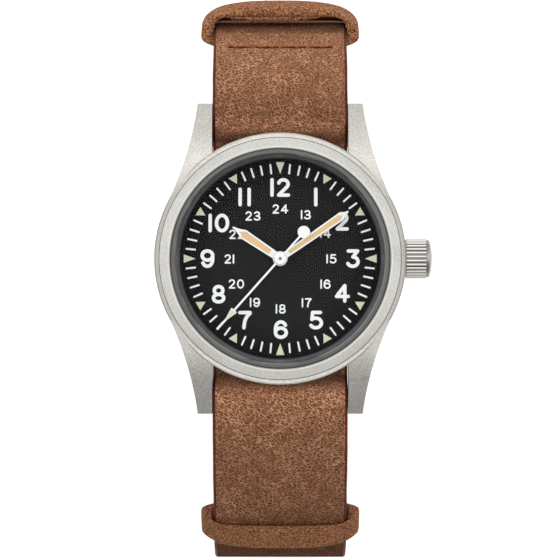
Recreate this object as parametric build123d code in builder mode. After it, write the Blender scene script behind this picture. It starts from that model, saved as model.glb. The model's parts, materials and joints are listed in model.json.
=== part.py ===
from build123d import *
from math import atan2, cos, degrees, hypot, pi, radians, sin, sqrt, tan
import os

os.makedirs("parts", exist_ok=True)

# Field watch on a pull-through leather strap, closed at its buckle, in millimetres.
# The dial faces +Z, twelve o'clock is +Y and the crown is at +X.
# The origin is under the hand axis, on the flat of the buckle that the watch stands on.

# Driving dimensions of the case
case_radius = 19.0
case_thickness = 9.5
back_height = 47.0
lug_span = 47.0
lug_gap = 20.6
overrun = 3.0
running_clearance = 0.05

# Case, in heights above the outside of the case back
rim_height = 0.6
rim_radius = 17.0
flank_foot_height = 3.2
shoulder_height = 7.0
shoulder_chamfer = 0.2
bore_radius = 15.6
bezel_height = 8.9
bezel_radius = 18.2
bezel_bore_radius = 16.6
bezel_land_width = 0.3
bezel_wall_height = 0.45
bezel_neck_radius = 17.2
bezel_neck_height = 0.5
crystal_radius = 16.4
crystal_seat_height = 8.0
crystal_chamfer = 0.5
crystal_seat_width = 0.45
flange_wall_radius = 15.95
flange_foot_radius = 15.1
flange_foot_height = 0.35
dial_radius = 15.5
dial_base = 5.0
dial_thickness = 0.4
dial_hole_radius = 0.95
dial_foot_radius = 0.35
dial_foot_place = 11.6
dial_foot_angles = (48.0, 228.0)
back_flange_radius = 16.3
back_thickness = 1.0
back_chamfer = 0.25
back_spigot_height = 0.9
back_spigot_wall = 1.3
back_notch_count = 6
back_notch_width = 2.6
back_notch_depth = 0.35
back_gasket_width = 0.5
back_gasket_height = 0.4

# Lugs
lug_outline_shares = ((0.863, 0.409), (0.747, 0.66), (0.684, 0.864), (0.658, 1.0))
lug_top_shares = ((0.48, 1.0), (0.78, 0.84), (1.0, 0.50))
lug_foot_shares = ((1.0, 0.07), (0.62, 0.0), (0.0, 0.0))

# Spring bars
bar_standoff = 2.2
bar_reach = case_radius + bar_standoff
bar_level = 1.9
bar_radius = 0.75
bar_end_gap = 0.15
pin_radius = 0.4
pin_tip_length = 0.95
pin_tail_length = 1.6
pin_hole_slack = 0.15

# Crown, crown tube and stem
crown_radius = 3.035
crown_start = 18.66
crown_end = 23.0
crown_rib_count = 30
crown_rib_radius = 0.2
crown_skirt = 0.4
crown_rib_length = 3.0
crown_dome = 0.45
crown_bore_radius = 1.75
crown_bore_depth = 2.9
stem_level = 3.2
stem_radius = 0.5
stem_square = 0.66
stem_square_end = 10.3
stem_start = 6.9
tube_radius = 1.25
tube_wall = 0.65
tube_end = 20.6
crown_seal_width = 0.7
crown_seal_gap = 0.08

# Hands, in heights above the outside of the case back
hour_level = 5.9
minute_level = 6.4
seconds_level = 6.9
hand_thickness = 0.2
hour_angle = 303.6
hour_length = 8.6
hour_hub_width = 1.13
hour_shoulder_width = 1.5
hour_shoulder = 6.7
hour_lume = (1.8, 6.5)
minute_angle = 55.3
minute_length = 12.5
minute_hub_width = 0.95
minute_shoulder_width = 1.25
minute_shoulder = 11.2
minute_lume = (1.7, 10.9)
lume_border = 0.26
hand_hub_radius = 1.1
hand_needle_width = 0.22
leaf_bend_share = 0.30
seconds_angle = 221.7
seconds_length = 14.3
seconds_width = 0.3
seconds_hub_radius = 0.83
seconds_hub_height = 0.15
seconds_tail = 5.35
seconds_disc_radius = 0.94
seconds_arrow = (10.4, 12.8)
seconds_arrow_width = 1.1
seconds_arrow_border = 0.14

# Movement: plates and bridges, in heights above the outside of the case back
movement_radius = 12.8
plate_base = 3.9
plate_top = 4.5
bridge_base = 1.5
bridge_thickness = 0.5
screw_radius = 0.4
screw_head_radius = 0.8
screw_head_height = 0.25
screw_slot_width = 0.2
jewel_radius = 0.55
jewel_thickness = 0.3
arbor_radius = 0.2
pivot_radius = 0.12
pivot_length = 0.25
hole_slack = 0.05

# Going train
barrel_teeth = 80
barrel_module = 0.125
centre_pinion_teeth = 12
centre_teeth = 72
centre_module = 0.097
third_pinion_teeth = 9
third_teeth = 75
fourth_pinion_teeth = 10
fourth_teeth = 80
fourth_module = 0.09
escape_pinion_teeth = 8
escape_teeth = 15
escape_radius = 2.0
barrel_angle = 60.0
third_angle = 215.0
escape_angle = 285.0
wheel_thickness = 0.12
drum_wall = 0.35
drum_height = 0.95
drum_base = 2.75
mainspring_thickness = 0.16
mainspring_turns = 7
fourth_base = 2.05
third_base = 2.25
centre_base = 2.5
pinion_height = 0.23
hollow_radius = 0.3
hollow_bore_radius = 0.16
cannon_bore_radius = 0.33
cannon_radius = 0.48
hour_bore_radius = 0.52
hour_pipe_radius = 0.75

# Motion works under the dial
motion_base = 4.56
motion_thickness = 0.13
hour_wheel_thickness = 0.15
cannon_teeth = 12
cannon_module = 0.12
minute_wheel_teeth = 36
minute_pinion_teeth = 10
hour_wheel_teeth = 40
minute_wheel_angle = 25.0
motion_gap = 0.04

# Winding works
ratchet_teeth = 45
winding_module = 0.16
crown_wheel_teeth = 42
winding_base = 1.3
winding_thickness = 0.3
winding_pinion_teeth = 16
winding_depth = 0.12
winding_pinion_length = 0.55
winding_tooth_share = 0.30
clutch_radius = 1.15
clutch_length = 1.7
click_width = 0.7

# Escapement and balance
pallet_reach = 2.45
pallet_thickness = 0.15
escape_base = 3.3
balance_place = (2.9, -8.15)
balance_radius = 3.6
balance_rim_width = 0.45
balance_base = 2.7
balance_thickness = 0.25
cock_foot = (8.3, -7.5)
cock_foot_radius = 1.25
hairspring_thickness = 0.06
hairspring_height = 0.2
hairspring_turns = 5
hairspring_radius = 2.1
hairspring_bore = 0.5

# Bridges, pillars and small fittings of the movement
pillar_reach = 11.2
pillar_radius = 1.0
barrel_pillar_angles = (22.0, 112.0, 338.0)
train_pillar_angles = (135.0, 180.0, 240.0)
window_slack = 0.2
screw_depth = 0.4
bridge_edge_gap = 0.3
carrier_thickness = 0.35
stem_boss_length = 0.9
barrel_bridge_shares = ((-0.48, 1.02), (-0.17, 0.28), (0.125, 0.07), (0.265, -0.125),
                        (0.405, -0.28), (1.02, -0.47), (1.02, 1.02))
train_bridge_shares = ((-0.52, 1.02), (-0.205, 0.255), (0.1, 0.038), (0.235, -0.15),
                       (0.265, -0.36), (0.05, -0.41), (-0.16, -0.50), (-0.39, -0.94),
                       (-1.02, -0.94), (-1.02, 1.02))
barrel_arbor_radius = 0.7
barrel_pivot_radius = 0.4
drum_lid = 0.12
crown_stud_radius = 0.85
crown_screw_lip = 0.4
crown_screw_height = 0.14
crown_tooth_width = 0.45
click_reach = 5.0
click_angle = 150.0
click_base = 1.25
click_screw_radius = 0.3
click_screw_height = 0.12
cock_arm_width = 1.1
pallet_bridge_base = 3.02
pallet_bridge_thickness = 0.2
pallet_bridge_width = 0.9
pallet_foot_reach = 2.5
wheel_spokes = 5
wheel_hub_share = 0.28
wheel_spoke_share = 0.12
spiral_points_per_turn = 12
escape_root_share = 0.78
escape_rim_share = 0.62
escape_rake_angle = 8.0
escape_club_angle = 5.0
roller_radius = 0.5
fork_gap = 0.15
fork_width = 0.3
pallet_arm_drop = 0.35
pallet_arm_reach = 1.45
stud_radius = 0.15
clutch_waist_start = 0.5
clutch_waist_length = 0.5
clutch_waist_radius = 0.85

# Strap, in its own outline seen from the crown side
leather = 1.6
strap_width = 20.5
under_leather = 1.4
layer_gap = 0.15
fold_leather = 0.9
fold_lean = 15.0
fold_return = 3.6
strap_rise_angle = 60.0
strap_rise_radius = 2.2
upper_headings = (-22.0, -60.0, -105.0)
upper_radius_shares = (0.5, 0.5532)
strap_end_level = 4.84
lower_headings = (-15.0, -50.0, -110.0)
lower_radius_shares = (0.815, 0.468)
seam_heading = -53.0
seam_overlap = 1.4
under_bend_heading = -38.0
under_fold_radius = 1.5
under_fold_reach = 2.0
under_return_turn = 6.0
floor_run = 5.0
tail_rise_angle = 12.0
tail_bend_radius = 8.0
tail_gap = 0.1
tail_wrap_length = 24.9
tail_tip_radius = 6.0
hole_radius = 0.9
hole_pitch = 6.5
hole_count_each_way = 3
tongue_slot_offset = 1.45
tongue_slot_length = 3.5
tongue_slot_width = 2.4

# Leather rings and keeper
ring_width = 24.5
ring_side_wall = 1.75
ring_inner_wall = 1.2
ring_corner = 3.0
lower_ring_length = 5.4
lower_ring_gap = 3.4
lower_ring_wall = 1.3
upper_ring_length = 5.0
upper_ring_gap = 4.4
upper_ring_wall = 1.3
upper_ring_hang = 0.9
ring_bore_corner = 0.4
ring_crown_radius = 84.0
ring_rest_gap = 0.1
upper_ring_heading = -72.0
lower_ring_heading = -54.0
keeper_angle = 14.0
keeper_wall = 1.3
keeper_length = 4.2
ring_round_share = 0.48
keeper_slack = 0.2
stitch_length = 3.4
stitch_count = 4
stitch_gap = 0.8
stitch_radius = 0.3
stitch_heading = -54.0

# Buckle
buckle_bar_setback = 3.0
buckle_bar_radius = 0.75
buckle_arm_gap = 0.35
buckle_arm_width = 1.6
crossbar_place = 1.0
crossbar_width = 3.2
crossbar_height = 1.9
crossbar_corner = 0.6
arm_height = 2.5
tongue_width = 1.8
tongue_thickness = 1.0
tongue_lift = 0.15
tongue_leg_angle = 62.0
tongue_tip_place = 0.9
tongue_bend_radius = 1.5
tongue_eye_wall = 0.7
tongue_notch_slack = 0.3


def at(height):
    """Plane at a height above the outside of the case back."""
    return Plane.XY.offset(back_height + height)


def polar(radius, angle):
    """Point at a radius and an angle from +X."""
    return (radius * cos(radians(angle)), radius * sin(radians(angle)))


def save(part, name):
    """Label a finished piece and write it."""
    part.label = name
    export_step(part, "parts/" + name + ".step")


def disc(base, top, radius):
    """Round piece between two heights, about the sketch's own centre."""
    with BuildSketch(at(base)) as face:
        Circle(radius)
    extrude(face.sketch, amount=top - base)


def ring_disc(base, top, radius, bore):
    """Washer between two heights."""
    with BuildSketch(at(base)) as face:
        Circle(radius)
        Circle(bore, mode=Mode.SUBTRACT)
    extrude(face.sketch, amount=top - base)


# Case

def lug_plan():
    """Outside edge of one lug, from the case side to its squared tip."""
    half = lug_span / 2
    points = [(case_radius * across, half * along) for across, along in lug_outline_shares]
    return points


with BuildPart() as case_middle:
    # turned body: bore, slanted flank below, upright edge and shoulder
    with BuildSketch(Plane.XZ):
        with BuildLine():
            Polyline(
                (flange_wall_radius, back_height + rim_height),
                (rim_radius, back_height + rim_height),
                (case_radius, back_height + flank_foot_height),
                (case_radius, back_height + shoulder_height - shoulder_chamfer),
                (case_radius - shoulder_chamfer, back_height + shoulder_height),
                (bezel_neck_radius, back_height + shoulder_height),
                (bezel_neck_radius, back_height + shoulder_height + bezel_neck_height),
                (flange_wall_radius, back_height + shoulder_height + bezel_neck_height),
                close=True,
            )
        make_face()
    revolve(axis=Axis.Z)
    with BuildSketch(at(rim_height)):
        Circle(flange_wall_radius)
        Circle(bore_radius, mode=Mode.SUBTRACT)
    extrude(amount=dial_base + dial_thickness - rim_height)
    # four lugs: plan outline cut by the side profile
    with BuildPart(mode=Mode.PRIVATE) as lugs:
        with BuildSketch(at(0)):
            with BuildLine():
                edge = lug_plan()
                tip = edge[-1]
                Line((lug_gap / 2, 0), (lug_gap / 2, tip[1]))
                Line((lug_gap / 2, tip[1]), tip)
                Spline(*reversed(edge))
                Line(edge[0], (edge[0][0], 0))
                Line((edge[0][0], 0), (lug_gap / 2, 0))
            make_face()
        extrude(amount=shoulder_height)
        with BuildSketch(Plane.YZ):
            half = lug_span / 2
            top = [(half * along, back_height + shoulder_height * up) for along, up in lug_top_shares]
            foot = [(half * along, back_height + shoulder_height * up) for along, up in lug_foot_shares]
            with BuildLine():
                Line((0, back_height + shoulder_height), top[0])
                Spline(*top)
                Polyline(top[-1], *foot)
                Line(foot[-1], (0, back_height + shoulder_height))
            make_face()
        extrude(amount=case_radius + overrun, both=True, mode=Mode.INTERSECT)
        mirror(about=Plane.XZ)
        mirror(about=Plane.YZ)
        with BuildSketch(at(0)):
            Circle(rim_radius)
        extrude(amount=rim_height, mode=Mode.SUBTRACT)
        with BuildSketch(at(0)):
            Circle(flange_wall_radius)
        extrude(amount=shoulder_height, mode=Mode.SUBTRACT)
    add(lugs.part)
    # strap passage: the slanted flank and the round case wall between the lugs
    with BuildSketch(Plane.YZ):
        for side in (1, -1):
            with BuildLine():
                Polyline(
                    (side * rim_radius, back_height + rim_height),
                    (side * case_radius, back_height + flank_foot_height),
                    (side * lug_span, back_height + flank_foot_height),
                    (side * lug_span, back_height + rim_height),
                    close=True,
                )
            make_face()
    extrude(amount=lug_gap / 2, both=True, mode=Mode.SUBTRACT)
    # blind holes for the spring bar pins
    for side in (1, -1):
        with BuildSketch(Plane.YZ.offset(-lug_gap / 2 - pin_tip_length - pin_hole_slack)):
            with Locations((side * bar_reach, back_height + bar_level)):
                Circle(pin_radius + running_clearance)
        extrude(amount=lug_gap + 2 * (pin_tip_length + pin_hole_slack), mode=Mode.SUBTRACT)
    # recess for the crown and hole for its tube
    with BuildSketch(Plane.YZ.offset(crown_start - running_clearance)):
        with Locations((0, back_height + stem_level)):
            Circle(crown_radius + crown_rib_radius)
    extrude(amount=overrun, mode=Mode.SUBTRACT)
    with BuildSketch(Plane.YZ):
        with Locations((0, back_height + stem_level)):
            Circle(tube_radius)
    extrude(amount=crown_end, mode=Mode.SUBTRACT)

save(case_middle.part, "case_middle")

with BuildPart() as bezel:
    with BuildSketch(Plane.XZ):
        base = back_height + shoulder_height
        with BuildLine():
            Polyline(
                (bezel_neck_radius, base),
                (bezel_radius, base),
                (bezel_radius, base + bezel_wall_height),
                (bezel_bore_radius + bezel_land_width, back_height + bezel_height),
                (bezel_bore_radius, back_height + bezel_height),
                (bezel_bore_radius, back_height + crystal_seat_height),
                (flange_wall_radius, back_height + crystal_seat_height),
                (flange_wall_radius, base + bezel_neck_height),
                (bezel_neck_radius, base + bezel_neck_height),
                close=True,
            )
        make_face()
    revolve(axis=Axis.Z)
save(bezel.part, "bezel")

with BuildPart() as crystal:
    disc(crystal_seat_height, case_thickness, crystal_radius)
    chamfer(crystal.edges().filter_by(GeomType.CIRCLE).sort_by(Axis.Z)[-1], crystal_chamfer)
save(crystal.part, "crystal")

with BuildPart() as crystal_gasket:
    ring_disc(crystal_seat_height, bezel_height, bezel_bore_radius, crystal_radius)
save(crystal_gasket.part, "crystal_gasket")

with BuildPart() as dial_flange:
    with BuildSketch(Plane.XZ):
        foot = back_height + dial_base + dial_thickness
        with BuildLine():
            Polyline(
                (flange_foot_radius, foot),
                (flange_wall_radius, foot),
                (flange_wall_radius, back_height + crystal_seat_height),
                (crystal_radius - crystal_seat_width - crystal_chamfer / 2,
                 back_height + crystal_seat_height),
                (flange_foot_radius, foot + flange_foot_height),
                close=True,
            )
        make_face()
    revolve(axis=Axis.Z)
save(dial_flange.part, "dial_flange")

with BuildPart() as dial:
    ring_disc(dial_base, dial_base + dial_thickness, dial_radius, dial_hole_radius)
    with BuildSketch(at(dial_base)):
        for angle in dial_foot_angles:
            with Locations(polar(dial_foot_place, angle)):
                Circle(dial_foot_radius)
    extrude(amount=plate_base - dial_base)
save(dial.part, "dial")

with BuildPart() as movement_ring:
    ring_disc(back_thickness + back_spigot_height, dial_base, bore_radius, movement_radius)
    with BuildSketch(Plane.YZ):
        with Locations((0, back_height + stem_level)):
            Circle(tube_radius)
    extrude(amount=crown_end, mode=Mode.SUBTRACT)
save(movement_ring.part, "movement_ring")

with BuildPart() as case_back:
    disc(0, rim_height, back_flange_radius)
    chamfer(case_back.edges().filter_by(GeomType.CIRCLE).sort_by(Axis.Z)[0], back_chamfer)
    disc(rim_height, back_thickness, bore_radius)
    spigot_top = back_thickness + back_spigot_height
    ring_disc(back_thickness, spigot_top, bore_radius, bore_radius - back_spigot_wall)
    # six notches for the case key
    with BuildSketch(at(0)):
        with PolarLocations(back_flange_radius, back_notch_count):
            Rectangle(back_notch_width, back_notch_width)
    extrude(amount=back_notch_depth, mode=Mode.SUBTRACT)
    # groove for the gasket
    with BuildSketch(at(rim_height - back_gasket_height)):
        Circle(bore_radius + back_gasket_width)
        Circle(bore_radius, mode=Mode.SUBTRACT)
    extrude(amount=back_gasket_height, mode=Mode.SUBTRACT)
save(case_back.part, "case_back")

with BuildPart() as case_back_gasket:
    ring_disc(rim_height - back_gasket_height, rim_height, bore_radius + back_gasket_width, bore_radius)
save(case_back_gasket.part, "case_back_gasket")


# Crown, its tube, seal and stem

def along_stem(start, end, radius):
    """Round length of a turned piece on the stem's axis."""
    with BuildSketch(Plane.YZ.offset(start)) as face:
        with Locations((0, back_height + stem_level)):
            Circle(radius)
    extrude(face.sketch, amount=end - start)


def bore_stem(start, end, radius):
    """Round bore on the stem's axis."""
    with BuildSketch(Plane.YZ.offset(start)) as face:
        with Locations((0, back_height + stem_level)):
            Circle(radius)
    extrude(face.sketch, amount=end - start, mode=Mode.SUBTRACT)


with BuildPart() as case_tube:
    along_stem(bore_radius - tube_wall, tube_end, tube_radius)
    bore_stem(0, crown_end, tube_radius - tube_wall)
save(case_tube.part, "case_tube")

crown_face = crown_end - crown_dome
crown_cavity_end = crown_start + crown_bore_depth
with BuildPart() as crown:
    rib_end = crown_start + crown_skirt + crown_rib_length
    along_stem(crown_start, crown_face, crown_radius - crown_rib_radius)
    with BuildSketch(Plane.YZ.offset(crown_start + crown_skirt)):
        with Locations((0, back_height + stem_level)):
            with PolarLocations(crown_radius - crown_rib_radius, crown_rib_count):
                Circle(crown_rib_radius)
    extrude(amount=rib_end - crown_start - crown_skirt)
    # domed end
    with BuildSketch(Plane.XZ):
        with BuildLine():
            dome_edge = crown_radius - crown_rib_radius
            axis_height = back_height + stem_level
            ThreePointArc(
                (crown_face, axis_height + dome_edge),
                (crown_end, axis_height),
                (crown_face, axis_height - dome_edge),
            )
            Line((crown_face, axis_height - dome_edge), (crown_face, axis_height + dome_edge))
        make_face()
        with Locations(((crown_face + crown_end) / 2, axis_height - crown_radius)):
            Rectangle(2 * crown_dome, 2 * crown_radius, mode=Mode.SUBTRACT)
    revolve(axis=Axis((0, 0, back_height + stem_level), (1, 0, 0)))
    bore_stem(crown_start, crown_cavity_end, crown_bore_radius)
    chamfer(crown.edges().filter_by(GeomType.CIRCLE).sort_by(Axis.X)[0:2].sort_by(SortBy.RADIUS)[-1],
            crown_skirt / 2)
save(crown.part, "crown")

with BuildPart() as crown_gasket:
    seal_end = crown_cavity_end - crown_seal_gap
    along_stem(seal_end - crown_seal_width, seal_end, crown_bore_radius - running_clearance)
    bore_stem(0, crown_end, tube_radius + running_clearance)
save(crown_gasket.part, "crown_gasket")

with BuildPart() as winding_stem:
    along_stem(stem_square_end, crown_cavity_end, stem_radius)
    with BuildSketch(Plane.YZ.offset(stem_start)):
        with Locations((0, back_height + stem_level)):
            Rectangle(stem_square, stem_square)
    extrude(amount=stem_square_end - stem_start)
save(winding_stem.part, "winding_stem")

# Spring bars and their sprung pins

bar_half = lug_gap / 2 - bar_end_gap
for side, bar_name in ((1, "spring_bar_upper"), (-1, "spring_bar_lower")):
    with BuildPart() as spring_bar:
        with BuildSketch(Plane.YZ.offset(-bar_half)):
            with Locations((side * bar_reach, back_height + bar_level)):
                Circle(bar_radius)
                Circle(pin_radius + running_clearance, mode=Mode.SUBTRACT)
        extrude(amount=2 * bar_half)
    save(spring_bar.part, bar_name)
    for hand, pin_side in ((1, "right"), (-1, "left")):
        pin_end = hand * (lug_gap / 2 + pin_tip_length)
        pin_start = hand * (bar_half - pin_tail_length)
        with BuildPart() as bar_pin:
            with BuildSketch(Plane.YZ.offset(pin_start)):
                with Locations((side * bar_reach, back_height + bar_level)):
                    Circle(pin_radius)
            extrude(amount=pin_end - pin_start)
        save(bar_pin.part, bar_name.replace("spring_bar", "bar_pin") + "_" + pin_side)


# Hands

def hand_plane(level, angle):
    """Plane of a hand, with its local +Y along the hand."""
    lean = radians(90 - angle)
    return Plane((0, 0, back_height + level), x_dir=(sin(lean), -cos(lean), 0), z_dir=(0, 0, 1))


def leaf(hub_width, shoulder_width, shoulder, length):
    """Leaf-shaped hand: widening blade, hollowed shoulder and needle tip."""
    needle = hand_needle_width / 2
    bend = shoulder + (length - shoulder) / 2
    bend_half = leaf_bend_share * shoulder_width / 2 + needle
    with BuildLine() as outline:
        Line((-hub_width / 2, 0), (-shoulder_width / 2, shoulder))
        ThreePointArc((-shoulder_width / 2, shoulder), (-bend_half, bend), (-needle, length))
        Line((-needle, length), (needle, length))
        ThreePointArc((needle, length), (bend_half, bend), (shoulder_width / 2, shoulder))
        Line((shoulder_width / 2, shoulder), (hub_width / 2, 0))
        Line((hub_width / 2, 0), (-hub_width / 2, 0))
    make_face(outline.edges())


def lume_slot(hub_width, shoulder_width, shoulder, reach):
    """Opening of a leaf hand, inside its border."""
    start, end = reach
    grow = (shoulder_width - hub_width) / shoulder
    near = (hub_width + grow * start) / 2 - lume_border
    far = (hub_width + grow * end) / 2 - lume_border
    with BuildLine() as outline:
        Polyline((-near, start), (near, start), (far, end), (-far, end), close=True)
    make_face(outline.edges())


with BuildPart() as hour_hand:
    with BuildSketch(hand_plane(hour_level, hour_angle)):
        leaf(hour_hub_width, hour_shoulder_width, hour_shoulder, hour_length)
        Circle(hand_hub_radius)
    extrude(amount=hand_thickness)
    with BuildSketch(hand_plane(hour_level, hour_angle)):
        lume_slot(hour_hub_width, hour_shoulder_width, hour_shoulder, hour_lume)
        Circle(hour_pipe_radius)
    extrude(amount=hand_thickness, mode=Mode.SUBTRACT)
save(hour_hand.part, "hour_hand")

with BuildPart() as hour_hand_lume:
    with BuildSketch(hand_plane(hour_level, hour_angle)):
        lume_slot(hour_hub_width, hour_shoulder_width, hour_shoulder, hour_lume)
    extrude(amount=hand_thickness)
save(hour_hand_lume.part, "hour_hand_lume")

with BuildPart() as minute_hand:
    with BuildSketch(hand_plane(minute_level, minute_angle)):
        leaf(minute_hub_width, minute_shoulder_width, minute_shoulder, minute_length)
        Circle(hand_hub_radius)
    extrude(amount=hand_thickness)
    with BuildSketch(hand_plane(minute_level, minute_angle)):
        lume_slot(minute_hub_width, minute_shoulder_width, minute_shoulder, minute_lume)
        Circle(cannon_radius)
    extrude(amount=hand_thickness, mode=Mode.SUBTRACT)
save(minute_hand.part, "minute_hand")

with BuildPart() as minute_hand_lume:
    with BuildSketch(hand_plane(minute_level, minute_angle)):
        lume_slot(minute_hub_width, minute_shoulder_width, minute_shoulder, minute_lume)
    extrude(amount=hand_thickness)
save(minute_hand_lume.part, "minute_hand_lume")


def seconds_arrow_face(border):
    """Arrow of the seconds hand, drawn in by a border."""
    start, end = seconds_arrow
    half = seconds_arrow_width / 2 - border
    with BuildLine() as outline:
        Polyline((-half, start + border), (half, start + border), (0, end - 2 * border), close=True)
    make_face(outline.edges())


with BuildPart() as seconds_hand:
    with BuildSketch(hand_plane(seconds_level, seconds_angle)):
        Rectangle(seconds_width, seconds_length, align=(Align.CENTER, Align.MIN))
        Rectangle(seconds_width, seconds_tail, align=(Align.CENTER, Align.MAX))
        with Locations((0, -seconds_tail)):
            Circle(seconds_disc_radius)
        Circle(seconds_hub_radius)
        seconds_arrow_face(0)
    extrude(amount=hand_thickness)
    disc(seconds_level, seconds_level + hand_thickness + seconds_hub_height, seconds_hub_radius)
    with BuildSketch(hand_plane(seconds_level, seconds_angle)):
        seconds_arrow_face(seconds_arrow_border)
    extrude(amount=hand_thickness, mode=Mode.SUBTRACT)
    with BuildSketch(at(seconds_level)):
        Circle(pivot_radius)
    extrude(amount=hand_thickness + seconds_hub_height, mode=Mode.SUBTRACT)
save(seconds_hand.part, "seconds_hand")

with BuildPart() as seconds_hand_lume:
    with BuildSketch(hand_plane(seconds_level, seconds_angle)):
        seconds_arrow_face(seconds_arrow_border)
    extrude(amount=hand_thickness)
save(seconds_hand_lume.part, "seconds_hand_lume")

# Toothed wheels

tip_rise_share = 0.85
root_drop_share = 1.35
root_half_share = 0.25
tip_half_share = 0.08
rim_share = 0.86


def toothed(teeth, module_size, spin):
    """Toothed outline with a tooth at the spin angle; four points for each tooth."""
    pitch_radius = teeth * module_size / 2
    tip_radius = pitch_radius + tip_rise_share * module_size
    root_radius = pitch_radius - root_drop_share * module_size
    step = 360 / teeth
    points = []
    for tooth in range(teeth):
        middle = spin + tooth * step
        points.append(polar(root_radius, middle - root_half_share * step))
        points.append(polar(tip_radius, middle - tip_half_share * step))
        points.append(polar(tip_radius, middle + tip_half_share * step))
        points.append(polar(root_radius, middle + root_half_share * step))
    with BuildLine() as outline:
        Polyline(*points, close=True)
    make_face(outline.edges())


def spoked(radius, hub_radius, spokes, spoke_width):
    """Cut the web of a wheel away between its rim and hub, leaving spokes."""
    with BuildSketch(mode=Mode.PRIVATE) as web:
        Circle(radius)
        Circle(hub_radius, mode=Mode.SUBTRACT)
        with PolarLocations(radius / 2, spokes):
            Rectangle(radius, spoke_width, mode=Mode.SUBTRACT)
    return web.sketch


def gap_spin(teeth, direction):
    """Spin angle that puts a gap between teeth in a direction."""
    return direction + 180 / teeth


def add_pivots(start, end):
    """Thin pivots below and above an arbor."""
    disc(start - pivot_length, start, pivot_radius)
    disc(end, end + pivot_length, pivot_radius)


def lifted(part, place):
    """Move a finished wheel to its place in the movement."""
    return part.moved(Location((place[0], place[1], 0)))


barrel_reach = (barrel_teeth + centre_pinion_teeth) * barrel_module / 2
third_reach = (centre_teeth + third_pinion_teeth) * centre_module / 2
third_module = 2 * third_reach / (third_teeth + fourth_pinion_teeth)
escape_reach = (fourth_teeth + escape_pinion_teeth) * fourth_module / 2
barrel_place = polar(barrel_reach, barrel_angle)
third_place = polar(third_reach, third_angle)
escape_place = polar(escape_reach, escape_angle)
bridge_top = bridge_base + bridge_thickness
drum_top = drum_base + drum_height

# Main plate and bridges

click_place = (
    barrel_place[0] + click_reach * cos(radians(click_angle)),
    barrel_place[1] + click_reach * sin(radians(click_angle)),
)
motion_reach = (cannon_teeth + minute_wheel_teeth) * cannon_module / 2
hour_module = 2 * motion_reach / (minute_pinion_teeth + hour_wheel_teeth)
minute_wheel_place = polar(motion_reach, minute_wheel_angle)
to_balance = (balance_place[0] - escape_place[0], balance_place[1] - escape_place[1])
pallet_angle = degrees(atan2(to_balance[1], to_balance[0]))
pallet_place = (
    escape_place[0] + pallet_reach * cos(radians(pallet_angle)),
    escape_place[1] + pallet_reach * sin(radians(pallet_angle)),
)
winding_reach = (ratchet_teeth + crown_wheel_teeth) * winding_module / 2
crown_wheel_radius = crown_wheel_teeth * winding_module / 2
crown_wheel_place = (barrel_place[0] + sqrt(winding_reach ** 2 - barrel_place[1] ** 2), 0)
winding_pinion_place = crown_wheel_place[0] + crown_wheel_radius
crown_pitch = 2 * pi * crown_wheel_radius / crown_wheel_teeth
winding_pinion_radius = winding_pinion_teeth * crown_pitch / (2 * pi)
pinion_start = winding_pinion_place - winding_pinion_length / 2
pinion_end = winding_pinion_place + winding_pinion_length / 2
clutch_end = pinion_start - running_clearance
clutch_start = clutch_end - clutch_length


# pillars that stand between the plate and each bridge, with a screw down each of them
barrel_pillars = [polar(pillar_reach, angle) for angle in barrel_pillar_angles]
train_pillars = [polar(pillar_reach, angle) for angle in train_pillar_angles]
window_start = clutch_start - window_slack
window_half = winding_pinion_radius + 2 * winding_depth + window_slack
plate_pivots = (third_place, escape_place, pallet_place, balance_place)
bridge_pivots = ((0, 0), third_place, escape_place)


def round_holes(base, top, places, radius):
    """Round holes of one size at several places."""
    with BuildSketch(at(base)) as face:
        with Locations(*places):
            Circle(radius)
    extrude(face.sketch, amount=top - base, mode=Mode.SUBTRACT)


def round_posts(base, top, places, radius):
    """Round posts of one size at several places."""
    with BuildSketch(at(base)) as face:
        with Locations(*places):
            Circle(radius)
    extrude(face.sketch, amount=top - base)


def window_cut(base, top, start):
    """Opening over the clutch and the winding pinion, out to the edge."""
    with BuildSketch(at(base)) as face:
        with Locations(((start + movement_radius + overrun) / 2, 0)):
            Rectangle(movement_radius + overrun - start, 2 * window_half)
    extrude(face.sketch, amount=top - base, mode=Mode.SUBTRACT)


with BuildPart() as main_plate:
    ring_disc(plate_base, plate_top, movement_radius, hollow_radius + running_clearance)
    with BuildSketch(at(plate_base)):
        with Locations(((window_start + pinion_end + window_slack) / 2, 0)):
            Rectangle(pinion_end + 2 * window_slack - window_start, 2 * window_half)
    extrude(amount=plate_top - plate_base, mode=Mode.SUBTRACT)
    round_holes(plate_base, plate_top, [polar(dial_foot_place, angle) for angle in dial_foot_angles],
                dial_foot_radius)
    round_holes(plate_base, plate_base + jewel_thickness, plate_pivots, jewel_radius)
    round_holes(plate_base, plate_top, [barrel_place], barrel_pivot_radius + hole_slack)
    screw_places = barrel_pillars + train_pillars + [cock_foot]
    round_holes(plate_base, plate_base + screw_depth, screw_places, screw_radius)
    # post of the minute wheel, on the dial side
    round_posts(plate_top, motion_base + motion_thickness + motion_gap + hour_wheel_thickness,
                [minute_wheel_place], arbor_radius)
    # bearing of the stem, hanging from the plate's edge
    boss_start = pinion_end + window_slack / 2
    with BuildSketch(Plane.YZ.offset(boss_start)):
        with Locations((0, back_height + (stem_level + plate_base) / 2)):
            Rectangle(2 * window_half, plate_base - stem_level + 2 * stem_radius)
    extrude(amount=stem_boss_length)
    bore_stem(0, crown_end, stem_radius + running_clearance)
save(main_plate.part, "main_plate")


def plan(points):
    """Outline of a bridge, in shares of the movement's radius, cut to the round of the movement."""
    with BuildSketch(at(bridge_base)) as face:
        with BuildLine() as outline:
            Polyline(*[(movement_radius * x, movement_radius * y) for x, y in points], close=True)
        make_face(outline.edges())
        Circle(movement_radius - bridge_edge_gap, mode=Mode.INTERSECT)
    return face.sketch


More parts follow.
